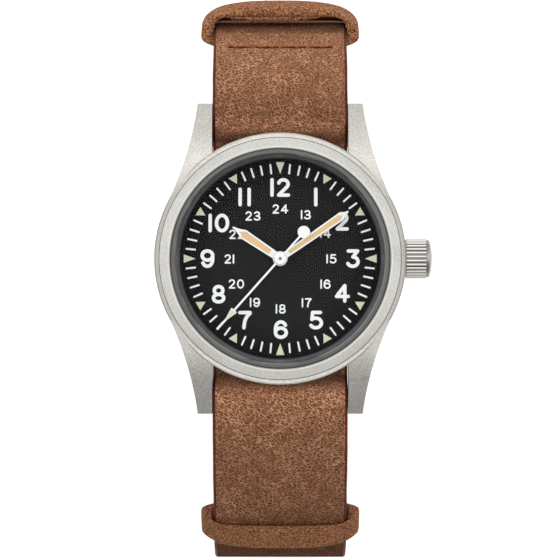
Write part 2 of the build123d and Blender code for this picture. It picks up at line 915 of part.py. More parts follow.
with BuildPart() as barrel_bridge:
    extrude(plan(barrel_bridge_shares), amount=bridge_thickness)
    round_posts(bridge_top, plate_base, barrel_pillars, pillar_radius)
    # carrier under the crown wheel, left whole behind its ring of teeth
    with BuildSketch(at(bridge_top)):
        with Locations(crown_wheel_place):
            Circle(crown_wheel_radius + 2 * window_slack)
    extrude(amount=carrier_thickness)
    # recesses for the ratchet wheel and the crown wheel
    recess_top = winding_base + winding_thickness + running_clearance
    round_holes(bridge_base, recess_top, [barrel_place], ratchet_teeth * winding_module / 2 + window_slack)
    round_holes(bridge_base, recess_top, [crown_wheel_place], crown_wheel_radius + window_slack)
    with BuildSketch(at(bridge_base)):
        with Locations(crown_wheel_place):
            Circle(crown_wheel_radius + window_slack)
            Circle(crown_wheel_radius - crown_tooth_width - window_slack, mode=Mode.SUBTRACT)
    extrude(amount=bridge_thickness, mode=Mode.SUBTRACT)
    window_cut(bridge_base, bridge_top + carrier_thickness, window_start)
    round_holes(recess_top, bridge_top, [barrel_place], barrel_arbor_radius + running_clearance)
    # stud that the crown wheel turns on
    round_posts(winding_base - running_clearance, recess_top, [crown_wheel_place], crown_stud_radius)
    round_holes(winding_base - running_clearance, bridge_top, [crown_wheel_place], screw_radius)
    round_holes(bridge_base, plate_base, barrel_pillars, screw_radius)
    round_holes(bridge_base, bridge_top, [click_place], click_screw_radius)
save(barrel_bridge.part, "barrel_bridge")

with BuildPart() as train_bridge:
    extrude(plan(train_bridge_shares), amount=bridge_thickness)
    round_posts(bridge_top, plate_base, train_pillars, pillar_radius)
    round_holes(bridge_base, plate_base, train_pillars, screw_radius)
    round_holes(bridge_top - jewel_thickness, bridge_top, bridge_pivots, jewel_radius)
save(train_bridge.part, "train_bridge")

with BuildPart() as balance_cock:
    reach = hypot(cock_foot[0] - balance_place[0], cock_foot[1] - balance_place[1])
    lean = degrees(atan2(cock_foot[1] - balance_place[1], cock_foot[0] - balance_place[0]))
    with BuildSketch(at(bridge_base)):
        with Locations(cock_foot):
            Circle(cock_foot_radius)
        with Locations(balance_place):
            Circle(cock_arm_width)
        with Locations(Location((balance_place[0], balance_place[1], 0), (0, 0, lean))):
            Rectangle(reach, 2 * cock_arm_width, align=(Align.MIN, Align.CENTER))
    extrude(amount=bridge_thickness)
    round_posts(bridge_top, plate_base, [cock_foot], cock_foot_radius)
    round_holes(bridge_base, plate_base, [cock_foot], screw_radius)
    round_holes(bridge_top - jewel_thickness, bridge_top, [balance_place], jewel_radius)
save(balance_cock.part, "balance_cock")

with BuildPart() as pallet_bridge:
    across = Location((pallet_place[0], pallet_place[1], 0), (0, 0, pallet_angle + 90))
    with BuildSketch(at(pallet_bridge_base)):
        with Locations(across):
            SlotOverall(2 * pallet_foot_reach, pallet_bridge_width)
            Circle(pivot_radius + hole_slack, mode=Mode.SUBTRACT)
    extrude(amount=pallet_bridge_thickness)
    foot_base = pallet_bridge_base + pallet_bridge_thickness
    with BuildSketch(at(foot_base)):
        with Locations(across):
            with Locations((pallet_foot_reach - pallet_bridge_width / 2, 0),
                           (pallet_bridge_width / 2 - pallet_foot_reach, 0)):
                Circle(pallet_bridge_width / 2)
    extrude(amount=plate_base - foot_base)
save(pallet_bridge.part, "pallet_bridge")

# Jewels: pressed rings that carry the pivots

with BuildPart() as jewels:
    with BuildSketch(at(plate_base)):
        with Locations(*plate_pivots):
            Circle(jewel_radius)
            Circle(pivot_radius + hole_slack, mode=Mode.SUBTRACT)
    extrude(amount=jewel_thickness)
    with BuildSketch(at(bridge_top - jewel_thickness)):
        with Locations(*bridge_pivots, balance_place):
            Circle(jewel_radius)
            Circle(pivot_radius + hole_slack, mode=Mode.SUBTRACT)
    extrude(amount=jewel_thickness)
save(jewels.part, "jewels")

# Screws of the bridges, the crown wheel and the click

with BuildPart() as movement_screws:
    round_posts(bridge_base, plate_base + screw_depth, screw_places, screw_radius)
    round_posts(bridge_base - screw_head_height, bridge_base, screw_places, screw_head_radius)
    crown_screw_base = winding_base - 2 * running_clearance - crown_screw_height
    round_posts(crown_screw_base, winding_base - running_clearance, [crown_wheel_place],
                crown_stud_radius + crown_screw_lip)
    round_posts(winding_base - running_clearance, bridge_top, [crown_wheel_place], screw_radius)
    round_posts(click_base - running_clearance - click_screw_height, click_base - running_clearance,
                [click_place], 2 * click_screw_radius)
    round_posts(click_base - running_clearance, bridge_top, [click_place], click_screw_radius)
    with BuildSketch(at(bridge_base - screw_head_height)):
        with Locations(*screw_places):
            Rectangle(2 * screw_head_radius, screw_slot_width)
    extrude(amount=screw_head_height / 2, mode=Mode.SUBTRACT)
save(movement_screws.part, "movement_screws")

# Going train

def wheel(teeth, module_size, base, thickness, spin, spokes):
    """Spoked wheel about the sketch centre."""
    radius = teeth * module_size / 2
    with BuildSketch(at(base)) as face:
        toothed(teeth, module_size, spin)
        add(spoked(rim_share * radius, wheel_hub_share * radius, spokes, wheel_spoke_share * radius),
            mode=Mode.SUBTRACT)
    extrude(face.sketch, amount=thickness)


def pinion(teeth, module_size, base, top, spin):
    """Small solid gear about the sketch centre."""
    with BuildSketch(at(base)) as face:
        toothed(teeth, module_size, spin)
    extrude(face.sketch, amount=top - base)


with BuildPart() as barrel_drum:
    pinion(barrel_teeth, barrel_module, drum_top - drum_wall, drum_top,
           gap_spin(barrel_teeth, barrel_angle + 180))
    drum_radius = barrel_teeth * barrel_module / 2 - 2 * barrel_module
    ring_disc(drum_base, drum_top - drum_wall, drum_radius, drum_radius - drum_wall)
    ring_disc(drum_base, drum_base + drum_lid, drum_radius, barrel_arbor_radius + running_clearance)
    disc_bore = barrel_arbor_radius + running_clearance
    round_holes(drum_base, drum_top, [(0, 0)], disc_bore)
save(lifted(barrel_drum.part, barrel_place), "barrel_drum")

with BuildPart() as barrel_arbor:
    disc(winding_base + winding_thickness, drum_top + running_clearance, barrel_arbor_radius)
    disc(drum_top, plate_base + pivot_length, barrel_pivot_radius)
    with BuildSketch(at(winding_base)):
        Rectangle(barrel_arbor_radius, barrel_arbor_radius)
    extrude(amount=winding_thickness)
save(lifted(barrel_arbor.part, barrel_place), "barrel_arbor")


def spiral(inner, outer, turns, thickness):
    """Flat spiral strip with clear gaps between its turns, as a sketch outline."""
    steps = spiral_points_per_turn * turns
    inside = []
    outside = []
    for step in range(steps + 1):
        radius = inner + (outer - inner) * step / steps
        angle = 360 * turns * step / steps
        inside.append(polar(radius - thickness / 2, angle))
        outside.append(polar(radius + thickness / 2, angle))
    with BuildLine() as outline:
        Spline(*inside)
        Line(inside[-1], outside[-1])
        Spline(*reversed(outside))
        Line(outside[0], inside[0])
    make_face(outline.edges())


with BuildPart() as mainspring:
    spring_start = drum_base + drum_lid + running_clearance
    with BuildSketch(at(spring_start)):
        spiral(barrel_arbor_radius + 2 * mainspring_thickness, drum_radius - drum_wall - mainspring_thickness,
               mainspring_turns, mainspring_thickness)
    extrude(amount=drum_top - drum_wall - running_clearance - spring_start)
save(lifted(mainspring.part, barrel_place), "mainspring")

with BuildPart() as centre_wheel:
    wheel(centre_teeth, centre_module, centre_base, wheel_thickness,
          gap_spin(centre_teeth, third_angle), wheel_spokes)
    pinion(centre_pinion_teeth, barrel_module, drum_base, drum_top, barrel_angle)
    disc(centre_base, minute_level, hollow_radius)
    round_holes(centre_base, minute_level, [(0, 0)], hollow_bore_radius)
save(centre_wheel.part, "centre_wheel")

third_spin = third_angle + 180
with BuildPart() as third_wheel:
    wheel(third_teeth, third_module, third_base, wheel_thickness,
          gap_spin(third_teeth, third_spin), wheel_spokes)
    pinion(third_pinion_teeth, centre_module, third_base + wheel_thickness + running_clearance,
           centre_base + wheel_thickness + running_clearance, third_spin)
    disc(bridge_top + running_clearance, plate_base - running_clearance, arbor_radius)
    add_pivots(bridge_top + running_clearance, plate_base - running_clearance)
save(lifted(third_wheel.part, third_place), "third_wheel")

with BuildPart() as fourth_wheel:
    wheel(fourth_teeth, fourth_module, fourth_base, wheel_thickness,
          gap_spin(fourth_teeth, escape_angle), wheel_spokes)
    pinion(fourth_pinion_teeth, third_module, fourth_base + wheel_thickness + running_clearance / 2,
           fourth_base + wheel_thickness + pinion_height, third_angle)
    disc(fourth_base, centre_base - running_clearance, arbor_radius)
    disc(bridge_top - pivot_length, seconds_level + hand_thickness + seconds_hub_height, pivot_radius)
save(fourth_wheel.part, "fourth_wheel")

with BuildPart() as escape_wheel:
    with BuildSketch(at(escape_base)):
        # fifteen raked club teeth
        points = []
        for tooth in range(escape_teeth):
            middle = tooth * 360 / escape_teeth
            points.append(polar(escape_root_share * escape_radius, middle))
            points.append(polar(escape_radius, middle + escape_rake_angle))
            points.append(polar(escape_radius, middle + escape_rake_angle + escape_club_angle))
            points.append(polar(escape_root_share * escape_radius, middle + escape_club_angle))
        with BuildLine():
            Polyline(*points, close=True)
        make_face()
        add(spoked(escape_rim_share * escape_radius, 2 * arbor_radius, wheel_spokes,
                   wheel_spoke_share * escape_radius), mode=Mode.SUBTRACT)
    extrude(amount=pallet_thickness)
    pinion(escape_pinion_teeth, fourth_module, bridge_top + running_clearance,
           third_base - running_clearance, escape_angle + 180)
    disc(bridge_top + running_clearance, plate_base - running_clearance, arbor_radius)
    add_pivots(bridge_top + running_clearance, plate_base - running_clearance)
save(lifted(escape_wheel.part, escape_place), "escape_wheel")

# Lever: fork towards the balance, two arms with pallets either side of the escape wheel

with BuildPart() as pallet_fork:
    fork_reach = hypot(balance_place[0] - pallet_place[0], balance_place[1] - pallet_place[1])
    with BuildSketch(at(escape_base)):
        Circle(2 * arbor_radius)
        Rectangle(fork_reach - roller_radius - fork_gap, fork_width, align=(Align.MIN, Align.CENTER))
        for hand in (1, -1):
            with BuildLine():
                Polyline(
                    (0, hand * fork_width / 2),
                    (-pallet_arm_drop, hand * pallet_arm_reach),
                    (-pallet_arm_drop - fork_width, hand * pallet_arm_reach),
                    (-fork_width, 0),
                    (0, 0),
                    close=True,
                )
            make_face()
            with Locations((-pallet_arm_drop - fork_width, hand * pallet_arm_reach)):
                Rectangle(2 * fork_width, fork_width)
    extrude(amount=pallet_thickness)
    disc(pallet_bridge_base + pallet_bridge_thickness + running_clearance, plate_base - running_clearance,
         arbor_radius)
    disc(pallet_bridge_base, plate_base + pivot_length, pivot_radius)
pallet_stand = Location((pallet_place[0], pallet_place[1], 0), (0, 0, pallet_angle))
save(pallet_fork.part.moved(pallet_stand), "pallet_fork")

with BuildPart() as balance_wheel:
    ring_disc(balance_base, balance_base + balance_thickness,
              balance_radius, balance_radius - balance_rim_width)
    with BuildSketch(at(balance_base)):
        Rectangle(2 * balance_radius - balance_rim_width, balance_rim_width)
        Circle(2 * arbor_radius)
    extrude(amount=balance_thickness)
    disc(bridge_top + running_clearance, plate_base - running_clearance, arbor_radius)
    add_pivots(bridge_top + running_clearance, plate_base - running_clearance)
    disc(escape_base + pallet_thickness + running_clearance,
         plate_base - 2 * running_clearance, roller_radius)
save(lifted(balance_wheel.part, balance_place), "balance_wheel")

with BuildPart() as hairspring:
    with BuildSketch(at(balance_base - 2 * running_clearance - hairspring_height)):
        spiral(hairspring_bore, hairspring_radius, hairspring_turns, hairspring_thickness)
        # outer end pinned to a stud that stands on the cock
        with Locations((hairspring_radius, 0)):
            Circle(stud_radius)
    extrude(amount=hairspring_height)
    with BuildSketch(at(bridge_top)):
        with Locations((hairspring_radius, 0)):
            Circle(stud_radius)
    extrude(amount=balance_base - 2 * running_clearance - bridge_top)
save(lifted(hairspring.part.rotate(Axis.Z, lean), balance_place), "hairspring")

# Motion works

hour_wheel_base = motion_base + motion_thickness + motion_gap
with BuildPart() as cannon_pinion:
    pinion(cannon_teeth, cannon_module, motion_base, motion_base + motion_thickness, minute_wheel_angle)
    disc(motion_base, minute_level + hand_thickness, cannon_radius)
    round_holes(motion_base, minute_level + hand_thickness, [(0, 0)], cannon_bore_radius)
save(cannon_pinion.part, "cannon_pinion")

with BuildPart() as minute_wheel:
    back_angle = minute_wheel_angle + 180
    wheel(minute_wheel_teeth, cannon_module, motion_base, motion_thickness,
          gap_spin(minute_wheel_teeth, back_angle), wheel_spokes)
    pinion(minute_pinion_teeth, hour_module, motion_base, hour_wheel_base + hour_wheel_thickness,
           back_angle)
    round_holes(motion_base, hour_wheel_base + hour_wheel_thickness, [(0, 0)],
                arbor_radius + running_clearance)
save(lifted(minute_wheel.part, minute_wheel_place), "minute_wheel")

with BuildPart() as hour_wheel:
    pinion(hour_wheel_teeth, hour_module, hour_wheel_base, hour_wheel_base + hour_wheel_thickness,
           gap_spin(hour_wheel_teeth, minute_wheel_angle))
    disc(hour_wheel_base, hour_level + hand_thickness, hour_pipe_radius)
    round_holes(hour_wheel_base, hour_level + hand_thickness, [(0, 0)], hour_bore_radius)
save(hour_wheel.part, "hour_wheel")

# Winding works

ratchet_spin = degrees(atan2(crown_wheel_place[1] - barrel_place[1],
                             crown_wheel_place[0] - barrel_place[0]))
with BuildPart() as ratchet_wheel:
    pinion(ratchet_teeth, winding_module, winding_base, winding_base + winding_thickness,
           gap_spin(ratchet_teeth, ratchet_spin))
    with BuildSketch(at(winding_base)):
        Rectangle(barrel_arbor_radius, barrel_arbor_radius)
    extrude(amount=winding_thickness, mode=Mode.SUBTRACT)
save(lifted(ratchet_wheel.part, barrel_place), "ratchet_wheel")

with BuildPart() as crown_wheel:
    pinion(crown_wheel_teeth, winding_module, winding_base, winding_base + winding_thickness,
           ratchet_spin + 180)
    round_holes(winding_base, winding_base + winding_thickness, [(0, 0)],
                crown_stud_radius + running_clearance)
    # ring of upright teeth that the winding pinion turns
    tooth_base = winding_base + winding_thickness
    tooth_top = stem_level - winding_pinion_radius + winding_depth / 2
    with BuildSketch(at(tooth_base)):
        with PolarLocations(crown_wheel_radius - crown_tooth_width / 2, crown_wheel_teeth,
                            start_angle=180 / crown_wheel_teeth):
            Rectangle(crown_tooth_width, winding_tooth_share * crown_pitch)
    extrude(amount=tooth_top - tooth_base)
save(lifted(crown_wheel.part, crown_wheel_place), "crown_wheel")

with BuildPart() as winding_pinion:
    tip_radius = winding_pinion_radius + winding_depth
    along_stem(pinion_start, pinion_end, winding_pinion_radius - winding_depth)
    # thin teeth, one of them pointing down into the crown wheel
    with BuildSketch(Plane.YZ.offset(pinion_start)):
        with Locations((0, back_height + stem_level)):
            with PolarLocations(winding_pinion_radius - winding_depth / 2, winding_pinion_teeth,
                                start_angle=-90):
                Rectangle(3 * winding_depth, winding_tooth_share * crown_pitch)
    extrude(amount=winding_pinion_length)
    bore_stem(pinion_start, pinion_end, stem_radius + running_clearance)
save(winding_pinion.part, "winding_pinion")

with BuildPart() as clutch_wheel:
    along_stem(clutch_start, clutch_end, clutch_radius)
    # waist for the yoke
    with BuildSketch(Plane.YZ.offset(clutch_start + clutch_waist_start)):
        with Locations((0, back_height + stem_level)):
            Circle(clutch_radius)
            Circle(clutch_waist_radius, mode=Mode.SUBTRACT)
    extrude(amount=clutch_waist_length, mode=Mode.SUBTRACT)
    with BuildSketch(Plane.YZ.offset(clutch_start)):
        with Locations((0, back_height + stem_level)):
            Rectangle(stem_square + 2 * running_clearance, stem_square + 2 * running_clearance)
    extrude(amount=clutch_length, mode=Mode.SUBTRACT)
    # end bore, so that the round of the stem can slide into the clutch
    bore_stem(stem_square_end - running_clearance, clutch_end, stem_radius + running_clearance)
save(clutch_wheel.part, "clutch_wheel")

with BuildPart() as click:
    nose_angle = degrees(atan2(barrel_place[1] - click_place[1], barrel_place[0] - click_place[0]))
    nose_reach = click_reach - ratchet_teeth * winding_module / 2 - 2 * winding_depth
    with BuildSketch(at(click_base)):
        Circle(click_width)
        with BuildLine():
            Polyline((0, -click_width), (nose_reach, -click_width / 4), (nose_reach, click_width / 4),
                     (0, click_width), close=True)
        make_face()
        Circle(click_screw_radius + running_clearance, mode=Mode.SUBTRACT)
    extrude(amount=bridge_base - running_clearance - click_base)
save(click.part.moved(Location((click_place[0], click_place[1], 0), (0, 0, nose_angle))), "click")

# Strap: routes are followed in (outward, up) from under the middle of the case

def step(point, heading, move):
    """Point and heading after a straight run (length, 0) or an arc (radius, turn)."""
    size, turn = move
    if turn == 0:
        run = (size * cos(radians(heading)), size * sin(radians(heading)))
        return (point[0] + run[0], point[1] + run[1]), heading
    reach = size if turn > 0 else -size
    centre = beside(point, heading, reach)
    return beside(centre, heading + turn, -reach), heading + turn


def beside(point, heading, distance):
    """Point to the left of a heading."""
    lean = radians(heading)
    return (point[0] - distance * sin(lean), point[1] + distance * cos(lean))


def walk(point, heading, moves):
    """Point and heading at the end of a route."""
    for move in moves:
        point, heading = step(point, heading, move)
    return point, heading


def band(point, heading, moves, thickness, side):
    """Side view of a layer of one thickness along a route; side -1 mirrors it to six o'clock."""
    left = []
    right = []
    for size, turn in moves:
        half_move = (size, turn / 2) if turn else (size / 2, 0)
        stations = [(point, heading), step(point, heading, half_move), step(point, heading, (size, turn))]
        left.append([beside(spot, lean, thickness / 2) for spot, lean in stations])
        right.append([beside(spot, lean, -thickness / 2) for spot, lean in reversed(stations)])
        point, heading = stations[-1]
    runs = left + right[::-1]
    curved = [turn != 0 for size, turn in moves]
    curved += curved[::-1]
    with BuildSketch(Plane.YZ) as face:
        with BuildLine() as outline:
            for count, (run, is_arc) in enumerate(zip(runs, curved)):
                start, middle, end = [(side * along, up) for along, up in run]
                if is_arc:
                    ThreePointArc(start, middle, end)
                else:
                    Line(start, end)
                following = runs[(count + 1) % len(runs)][0]
                following = (side * following[0], following[1])
                if hypot(following[0] - end[0], following[1] - end[1]) > running_clearance:
                    Line(end, following)
        make_face(outline.edges())
    return face.sketch


def strap_plane(place, heading, side):
    """Plane across the strap at a place on its route, with local +Y towards its outer face."""
    lean = radians(heading)
    return Plane((0, side * place[0], place[1]), x_dir=(1, 0, 0), z_dir=(0, -cos(lean), -side * sin(lean)))


def layer(face, width, mode=Mode.ADD):
    """Give a side view its width, both ways from the middle."""
    extrude(face, amount=width / 2, both=True, mode=mode)


strap_level = back_height - layer_gap - leather / 2
bar_height = back_height + bar_level
wrap_radius = bar_radius + running_clearance + leather / 2
wrap_start = beside((bar_reach, bar_height), strap_rise_angle, wrap_radius)
rise_up = wrap_start[1] - strap_level
rise_bend = strap_rise_radius * tan(radians(strap_rise_angle / 2))
rise_run = rise_up / sin(radians(strap_rise_angle)) - rise_bend
flat_run = wrap_start[0] - rise_up / tan(radians(strap_rise_angle)) - rise_bend
over_bar = [(flat_run, 0), (strap_rise_radius, strap_rise_angle), (rise_run, 0)]
strap_start = (0, strap_level)

# bends of the strap follow the height that it spans
upper_radii = [back_height * share for share in upper_radius_shares]
lower_radii = [back_height * share for share in lower_radius_shares]

# twelve o'clock side, down to the buckle
upper_turns = [upper_headings[0] - strap_rise_angle, upper_headings[1] - upper_headings[0],
               upper_headings[2] - upper_headings[1], -180 - upper_headings[2]]
upper_moves = over_bar + list(zip([wrap_radius] + upper_radii, upper_turns[:3]))
upper_low, upper_low_heading = walk(strap_start, 0, upper_moves)
end_radius = (upper_low[1] - strap_end_level) / (1 + cos(radians(upper_low_heading)))
upper_moves.append((end_radius, upper_turns[3]))
upper_end, upper_heading = walk(strap_start, 0, upper_moves)
tail_centre = (upper_end[0], upper_end[1] + end_radius)
buckle_bar_place = upper_end[0] - buckle_bar_setback
fold_radius = buckle_bar_radius + running_clearance + fold_leather / 2
fold_level = upper_end[1] - leather / 2 + fold_leather / 2
buckle_bar_height = fold_level + fold_radius

# six o'clock side, down to the floor and along inside the buckle as the tail
lower_turns = [lower_headings[0] - strap_rise_angle, lower_headings[1] - lower_headings[0],
               lower_headings[2] - lower_headings[1], -180 - lower_headings[2]]
lower_moves = over_bar + list(zip([wrap_radius] + lower_radii, lower_turns[:3]))
lower_place, lower_heading = walk(strap_start, 0, lower_moves)
floor_radius = (lower_place[1] - leather / 2) / (1 + cos(radians(lower_heading)))
tail_level = crossbar_height + tail_gap + leather / 2
bend_rise = tail_bend_radius * (1 - cos(radians(tail_rise_angle)))
tail_rise = (tail_level - leather / 2 - 2 * bend_rise) / sin(radians(tail_rise_angle))
tail_moves = lower_moves + [
    (floor_radius, lower_turns[3]),
    (floor_run, 0),
    (tail_bend_radius, -tail_rise_angle),
    (tail_rise, 0),
    (tail_bend_radius, tail_rise_angle),
]
tail_place, tail_heading = walk(strap_start, 0, tail_moves)
tail_moves.append((tail_place[0] + tail_centre[0], 0))
tail_radius = tail_centre[1] - tail_level
tail_wrap_angle = degrees(tail_wrap_length / tail_radius)
tail_moves.append((tail_radius, -tail_wrap_angle))
tail_end, tail_end_heading = walk(strap_start, 0, tail_moves)

# line of stitches that holds the under strap
stitch_centre, stitch_start_heading = walk(strap_start, 0, upper_moves[:4])
stitch_place, _ = step(stitch_centre, stitch_start_heading,
                       (upper_radii[0], stitch_heading - stitch_start_heading))
stitch_pitch = stitch_length + stitch_gap
with BuildPart() as stitching:
    with BuildSketch(strap_plane(stitch_place, stitch_heading, 1)):
        with Locations((0, leather / 2)):
            with GridLocations(stitch_pitch, stitch_radius, stitch_count, 1):
                SlotOverall(stitch_length, 2 * stitch_radius)
    extrude(amount=stitch_radius, both=True)
save(stitching.part, "stitching")

with BuildPart() as main_strap:
    layer(band(strap_start, 0, upper_moves + [(upper_end[0] - buckle_bar_place - 2 * buckle_bar_radius, 0)],
               leather, 1), strap_width)
    # thinned end, folded back round the buckle's bar
    fold_moves = [(upper_end[0] - buckle_bar_place, 0), (fold_radius, -180 - fold_lean), (fold_return, 0)]
    layer(band((upper_end[0], fold_level), -180, fold_moves, fold_leather, 1), strap_width)
    layer(band(strap_start, 0, tail_moves, leather, -1), strap_width)
    tip_edges = main_strap.edges().sort_by_distance((0, -tail_end[0], tail_end[1])).filter_by(
        lambda edge: abs(edge.length - leather) < running_clearance)[0:2]
    fillet(tip_edges, tail_tip_radius)
    # slot in the tail and notch in the fold for the buckle's tongue
    slot_middle = buckle_bar_place - tongue_slot_offset
    with BuildSketch(Plane.XY):
        with Locations((0, slot_middle)):
            SlotOverall(tongue_slot_length, tongue_slot_width, rotation=90)
    extrude(amount=tail_level + leather / 2 + tail_gap, mode=Mode.SUBTRACT)
    notch_reach = buckle_bar_radius + tongue_eye_wall + 2 * tongue_notch_slack
    with BuildSketch(Plane.XY.offset(tail_level + leather / 2 + tail_gap)):
        with Locations((0, buckle_bar_place)):
            Rectangle(tongue_slot_width, 2 * notch_reach)
    extrude(amount=buckle_bar_height + notch_reach - tail_level - leather / 2, mode=Mode.SUBTRACT)
    # round holes along the tail, before and after the tongue's slot
    with BuildSketch(Plane.XY):
        with Locations(*[(0, slot_middle - (count + 1) * hole_pitch)
                         for count in range(hole_count_each_way)]):
            Circle(hole_radius)
    extrude(amount=tail_level + leather, mode=Mode.SUBTRACT)
    for count in range(hole_count_each_way):
        hole_angle = degrees((slot_middle + (count + 1) * hole_pitch - tail_centre[0]) / tail_radius)
        hole_plane = Plane((0, tail_centre[0], tail_centre[1]), x_dir=(1, 0, 0),
                           z_dir=(0, sin(radians(hole_angle)), -cos(radians(hole_angle))))
        with BuildSketch(hole_plane.offset(tail_radius - leather / 2 - tail_gap)):
            Circle(hole_radius)
        extrude(amount=leather + 2 * tail_gap, mode=Mode.SUBTRACT)
    add(stitching.part, mode=Mode.SUBTRACT)
save(main_strap.part, "main_strap")

# Under strap: sewn on at twelve o'clock, flat under the case, folded round the lower ring
under_level = strap_level - leather / 2 - layer_gap - under_leather / 2
layer_step = (leather + under_leather) / 2


def under_route(centre, radius, heading):
    """Moves that leave the level and bend onto the inside of an arc of the main strap."""
    fall = 1 - cos(radians(heading))
    bend = (under_level - centre[1] - radius * cos(radians(heading))) / fall
    flat = centre[0] - (radius - bend) * sin(radians(heading))
    return [(flat, 0), (bend, heading)]


upper_place, _ = walk(strap_start, 0, upper_moves[:4])
upper_centre = beside(upper_place, upper_headings[0], -upper_radii[0])
upper_under = under_route(upper_centre, upper_radii[0] - layer_step, seam_heading)
upper_under.append((upper_radii[0] - layer_step, upper_headings[1] - seam_heading))
seam_radius = upper_radii[1] - layer_step
upper_under.append((seam_radius, -degrees(seam_overlap / seam_radius)))
lower_start, _ = walk(strap_start, 0, lower_moves[:4])
lower_centre = beside(lower_start, lower_headings[0], -lower_radii[0])
lower_under = under_route(lower_centre, lower_radii[0] - layer_step, under_bend_heading)
ring_half_turn = degrees((lower_ring_length / 2 + under_fold_reach) / lower_radii[1])
fold_turn = lower_ring_heading - ring_half_turn - lower_headings[1]
lower_under += [
    (lower_radii[0] - layer_step, lower_headings[1] - under_bend_heading),
    (lower_radii[1] - layer_step, fold_turn),
    (under_fold_radius, -180),
    (lower_radii[1] - layer_step - 2 * under_fold_radius, -fold_turn),
    (lower_radii[0] - layer_step - 2 * under_fold_radius, under_return_turn),
]
with BuildPart() as under_strap:
    layer(band((0, under_level), 0, upper_under, under_leather, 1), strap_width)
    layer(band((0, under_level), 0, lower_under, under_leather, -1), strap_width)
save(under_strap.part, "under_strap")


# Leather rings

def ring_face(plane, middle, gap, outer_wall, inner_wall, side_wall_width):
    """Section of a rolled ring: rounded, crowned outline with a flat-sided bore."""
    height = gap + outer_wall + inner_wall
    centre = middle + (outer_wall - inner_wall) / 2
    crown_centre = centre + height / 2 - ring_crown_radius
    with BuildSketch(plane) as face:
        with Locations((0, centre)):
            RectangleRounded(ring_width, height, min(ring_corner, height * ring_round_share))
        with Locations((0, crown_centre)):
            Circle(ring_crown_radius, mode=Mode.INTERSECT)
        with Locations((0, middle)):
            RectangleRounded(side_wall_width, gap, min(ring_bore_corner, gap * ring_round_share),
                             mode=Mode.SUBTRACT)
    return face.sketch


ring_bore_width = ring_width - 2 * ring_side_wall
upper_ring_turn = upper_ring_heading - upper_headings[1]
upper_ring_start, _ = walk(strap_start, 0, upper_moves[:5])
upper_ring_place, _ = step(upper_ring_start, upper_headings[1], (upper_radii[1], upper_ring_turn))
with BuildPart() as upper_ring:
    ring_middle = upper_ring_gap / 2 - leather / 2 - upper_ring_hang
    extrude(ring_face(strap_plane(upper_ring_place, upper_ring_heading, 1), ring_middle, upper_ring_gap,
                      upper_ring_wall, ring_inner_wall, ring_bore_width),
            amount=upper_ring_length / 2, both=True)
save(upper_ring.part, "upper_ring")

lower_ring_start, _ = walk(strap_start, 0, lower_moves[:5])
lower_ring_place, _ = step(lower_ring_start, lower_headings[1],
                           (lower_radii[1], lower_ring_heading - lower_headings[1]))
with BuildPart() as lower_ring:
    ring_middle = leather / 2 + ring_rest_gap - lower_ring_gap / 2
    extrude(ring_face(strap_plane(lower_ring_place, lower_ring_heading, -1), ring_middle, lower_ring_gap,
                      lower_ring_wall, ring_inner_wall, ring_bore_width),
            amount=lower_ring_length / 2, both=True)
save(lower_ring.part, "lower_ring")

with BuildPart() as buckle_keeper:
    keeper_gap = tail_radius - end_radius + leather + 2 * keeper_slack
    keeper_middle_radius = (tail_radius + end_radius) / 2
    keeper_place = (
        tail_centre[0] + keeper_middle_radius * sin(radians(keeper_angle)),
        tail_centre[1] - keeper_middle_radius * cos(radians(keeper_angle)),
    )
    extrude(ring_face(strap_plane(keeper_place, keeper_angle - 180, 1), 0, keeper_gap,
                      keeper_wall, keeper_wall, ring_bore_width), amount=keeper_length / 2, both=True)
save(buckle_keeper.part, "buckle_keeper")

# Buckle

arm_start = strap_width / 2 + buckle_arm_gap
buckle_width = 2 * (arm_start + buckle_arm_width)
with BuildPart() as buckle_bar:
    with BuildSketch(Plane.YZ.offset(-buckle_width / 2)):
        with Locations((buckle_bar_place, buckle_bar_height)):
            Circle(buckle_bar_radius)
    extrude(amount=buckle_width)
save(buckle_bar.part, "buckle_bar")

crossbar_start = crossbar_place - crossbar_width / 2
crossbar_end = crossbar_place + crossbar_width / 2
with BuildPart() as buckle_frame:
    with BuildSketch(Plane.YZ.offset(-buckle_width / 2)):
        with BuildLine():
            Polyline(
                (crossbar_start, 0),
                (crossbar_end, 0),
                (buckle_bar_place + arm_height / 4, buckle_bar_height - arm_height / 2),
                (buckle_bar_place - arm_height / 4, buckle_bar_height + arm_height / 2),
                (crossbar_start, crossbar_height),
                close=True,
            )
        make_face()
        with Locations((buckle_bar_place, buckle_bar_height)):
            Circle(arm_height / 2)
    extrude(amount=buckle_width)
    # opening between the arms, behind and above the crossbar
    with BuildSketch(Plane.XY.offset(-overrun)):
        with Locations((0, crossbar_end)):
            Rectangle(2 * arm_start, buckle_width, align=(Align.CENTER, Align.MIN))
    extrude(amount=buckle_width, mode=Mode.SUBTRACT)
    with BuildSketch(Plane.XY.offset(crossbar_height)):
        with Locations((0, crossbar_start)):
            Rectangle(2 * arm_start, crossbar_width, align=(Align.CENTER, Align.MIN))
    extrude(amount=buckle_width, mode=Mode.SUBTRACT)
    # seat of the tongue's tip
    with BuildSketch(Plane.XY.offset(-overrun)):
        with Locations((0, tongue_tip_place - tongue_notch_slack)):
            Rectangle(tongue_width + tongue_notch_slack, crossbar_width, align=(Align.CENTER, Align.MIN))
    extrude(amount=overrun + tongue_lift + tongue_thickness + running_clearance, mode=Mode.SUBTRACT)
    with BuildSketch(Plane.YZ.offset(-buckle_width)):
        with Locations((buckle_bar_place, buckle_bar_height)):
            Circle(buckle_bar_radius + running_clearance)
    extrude(amount=2 * buckle_width, mode=Mode.SUBTRACT)
    front = buckle_frame.edges().filter_by(Axis.Z).sort_by(Axis.Y)[0:2]
    fillet(front, crossbar_corner)
save(buckle_frame.part, "buckle_frame")

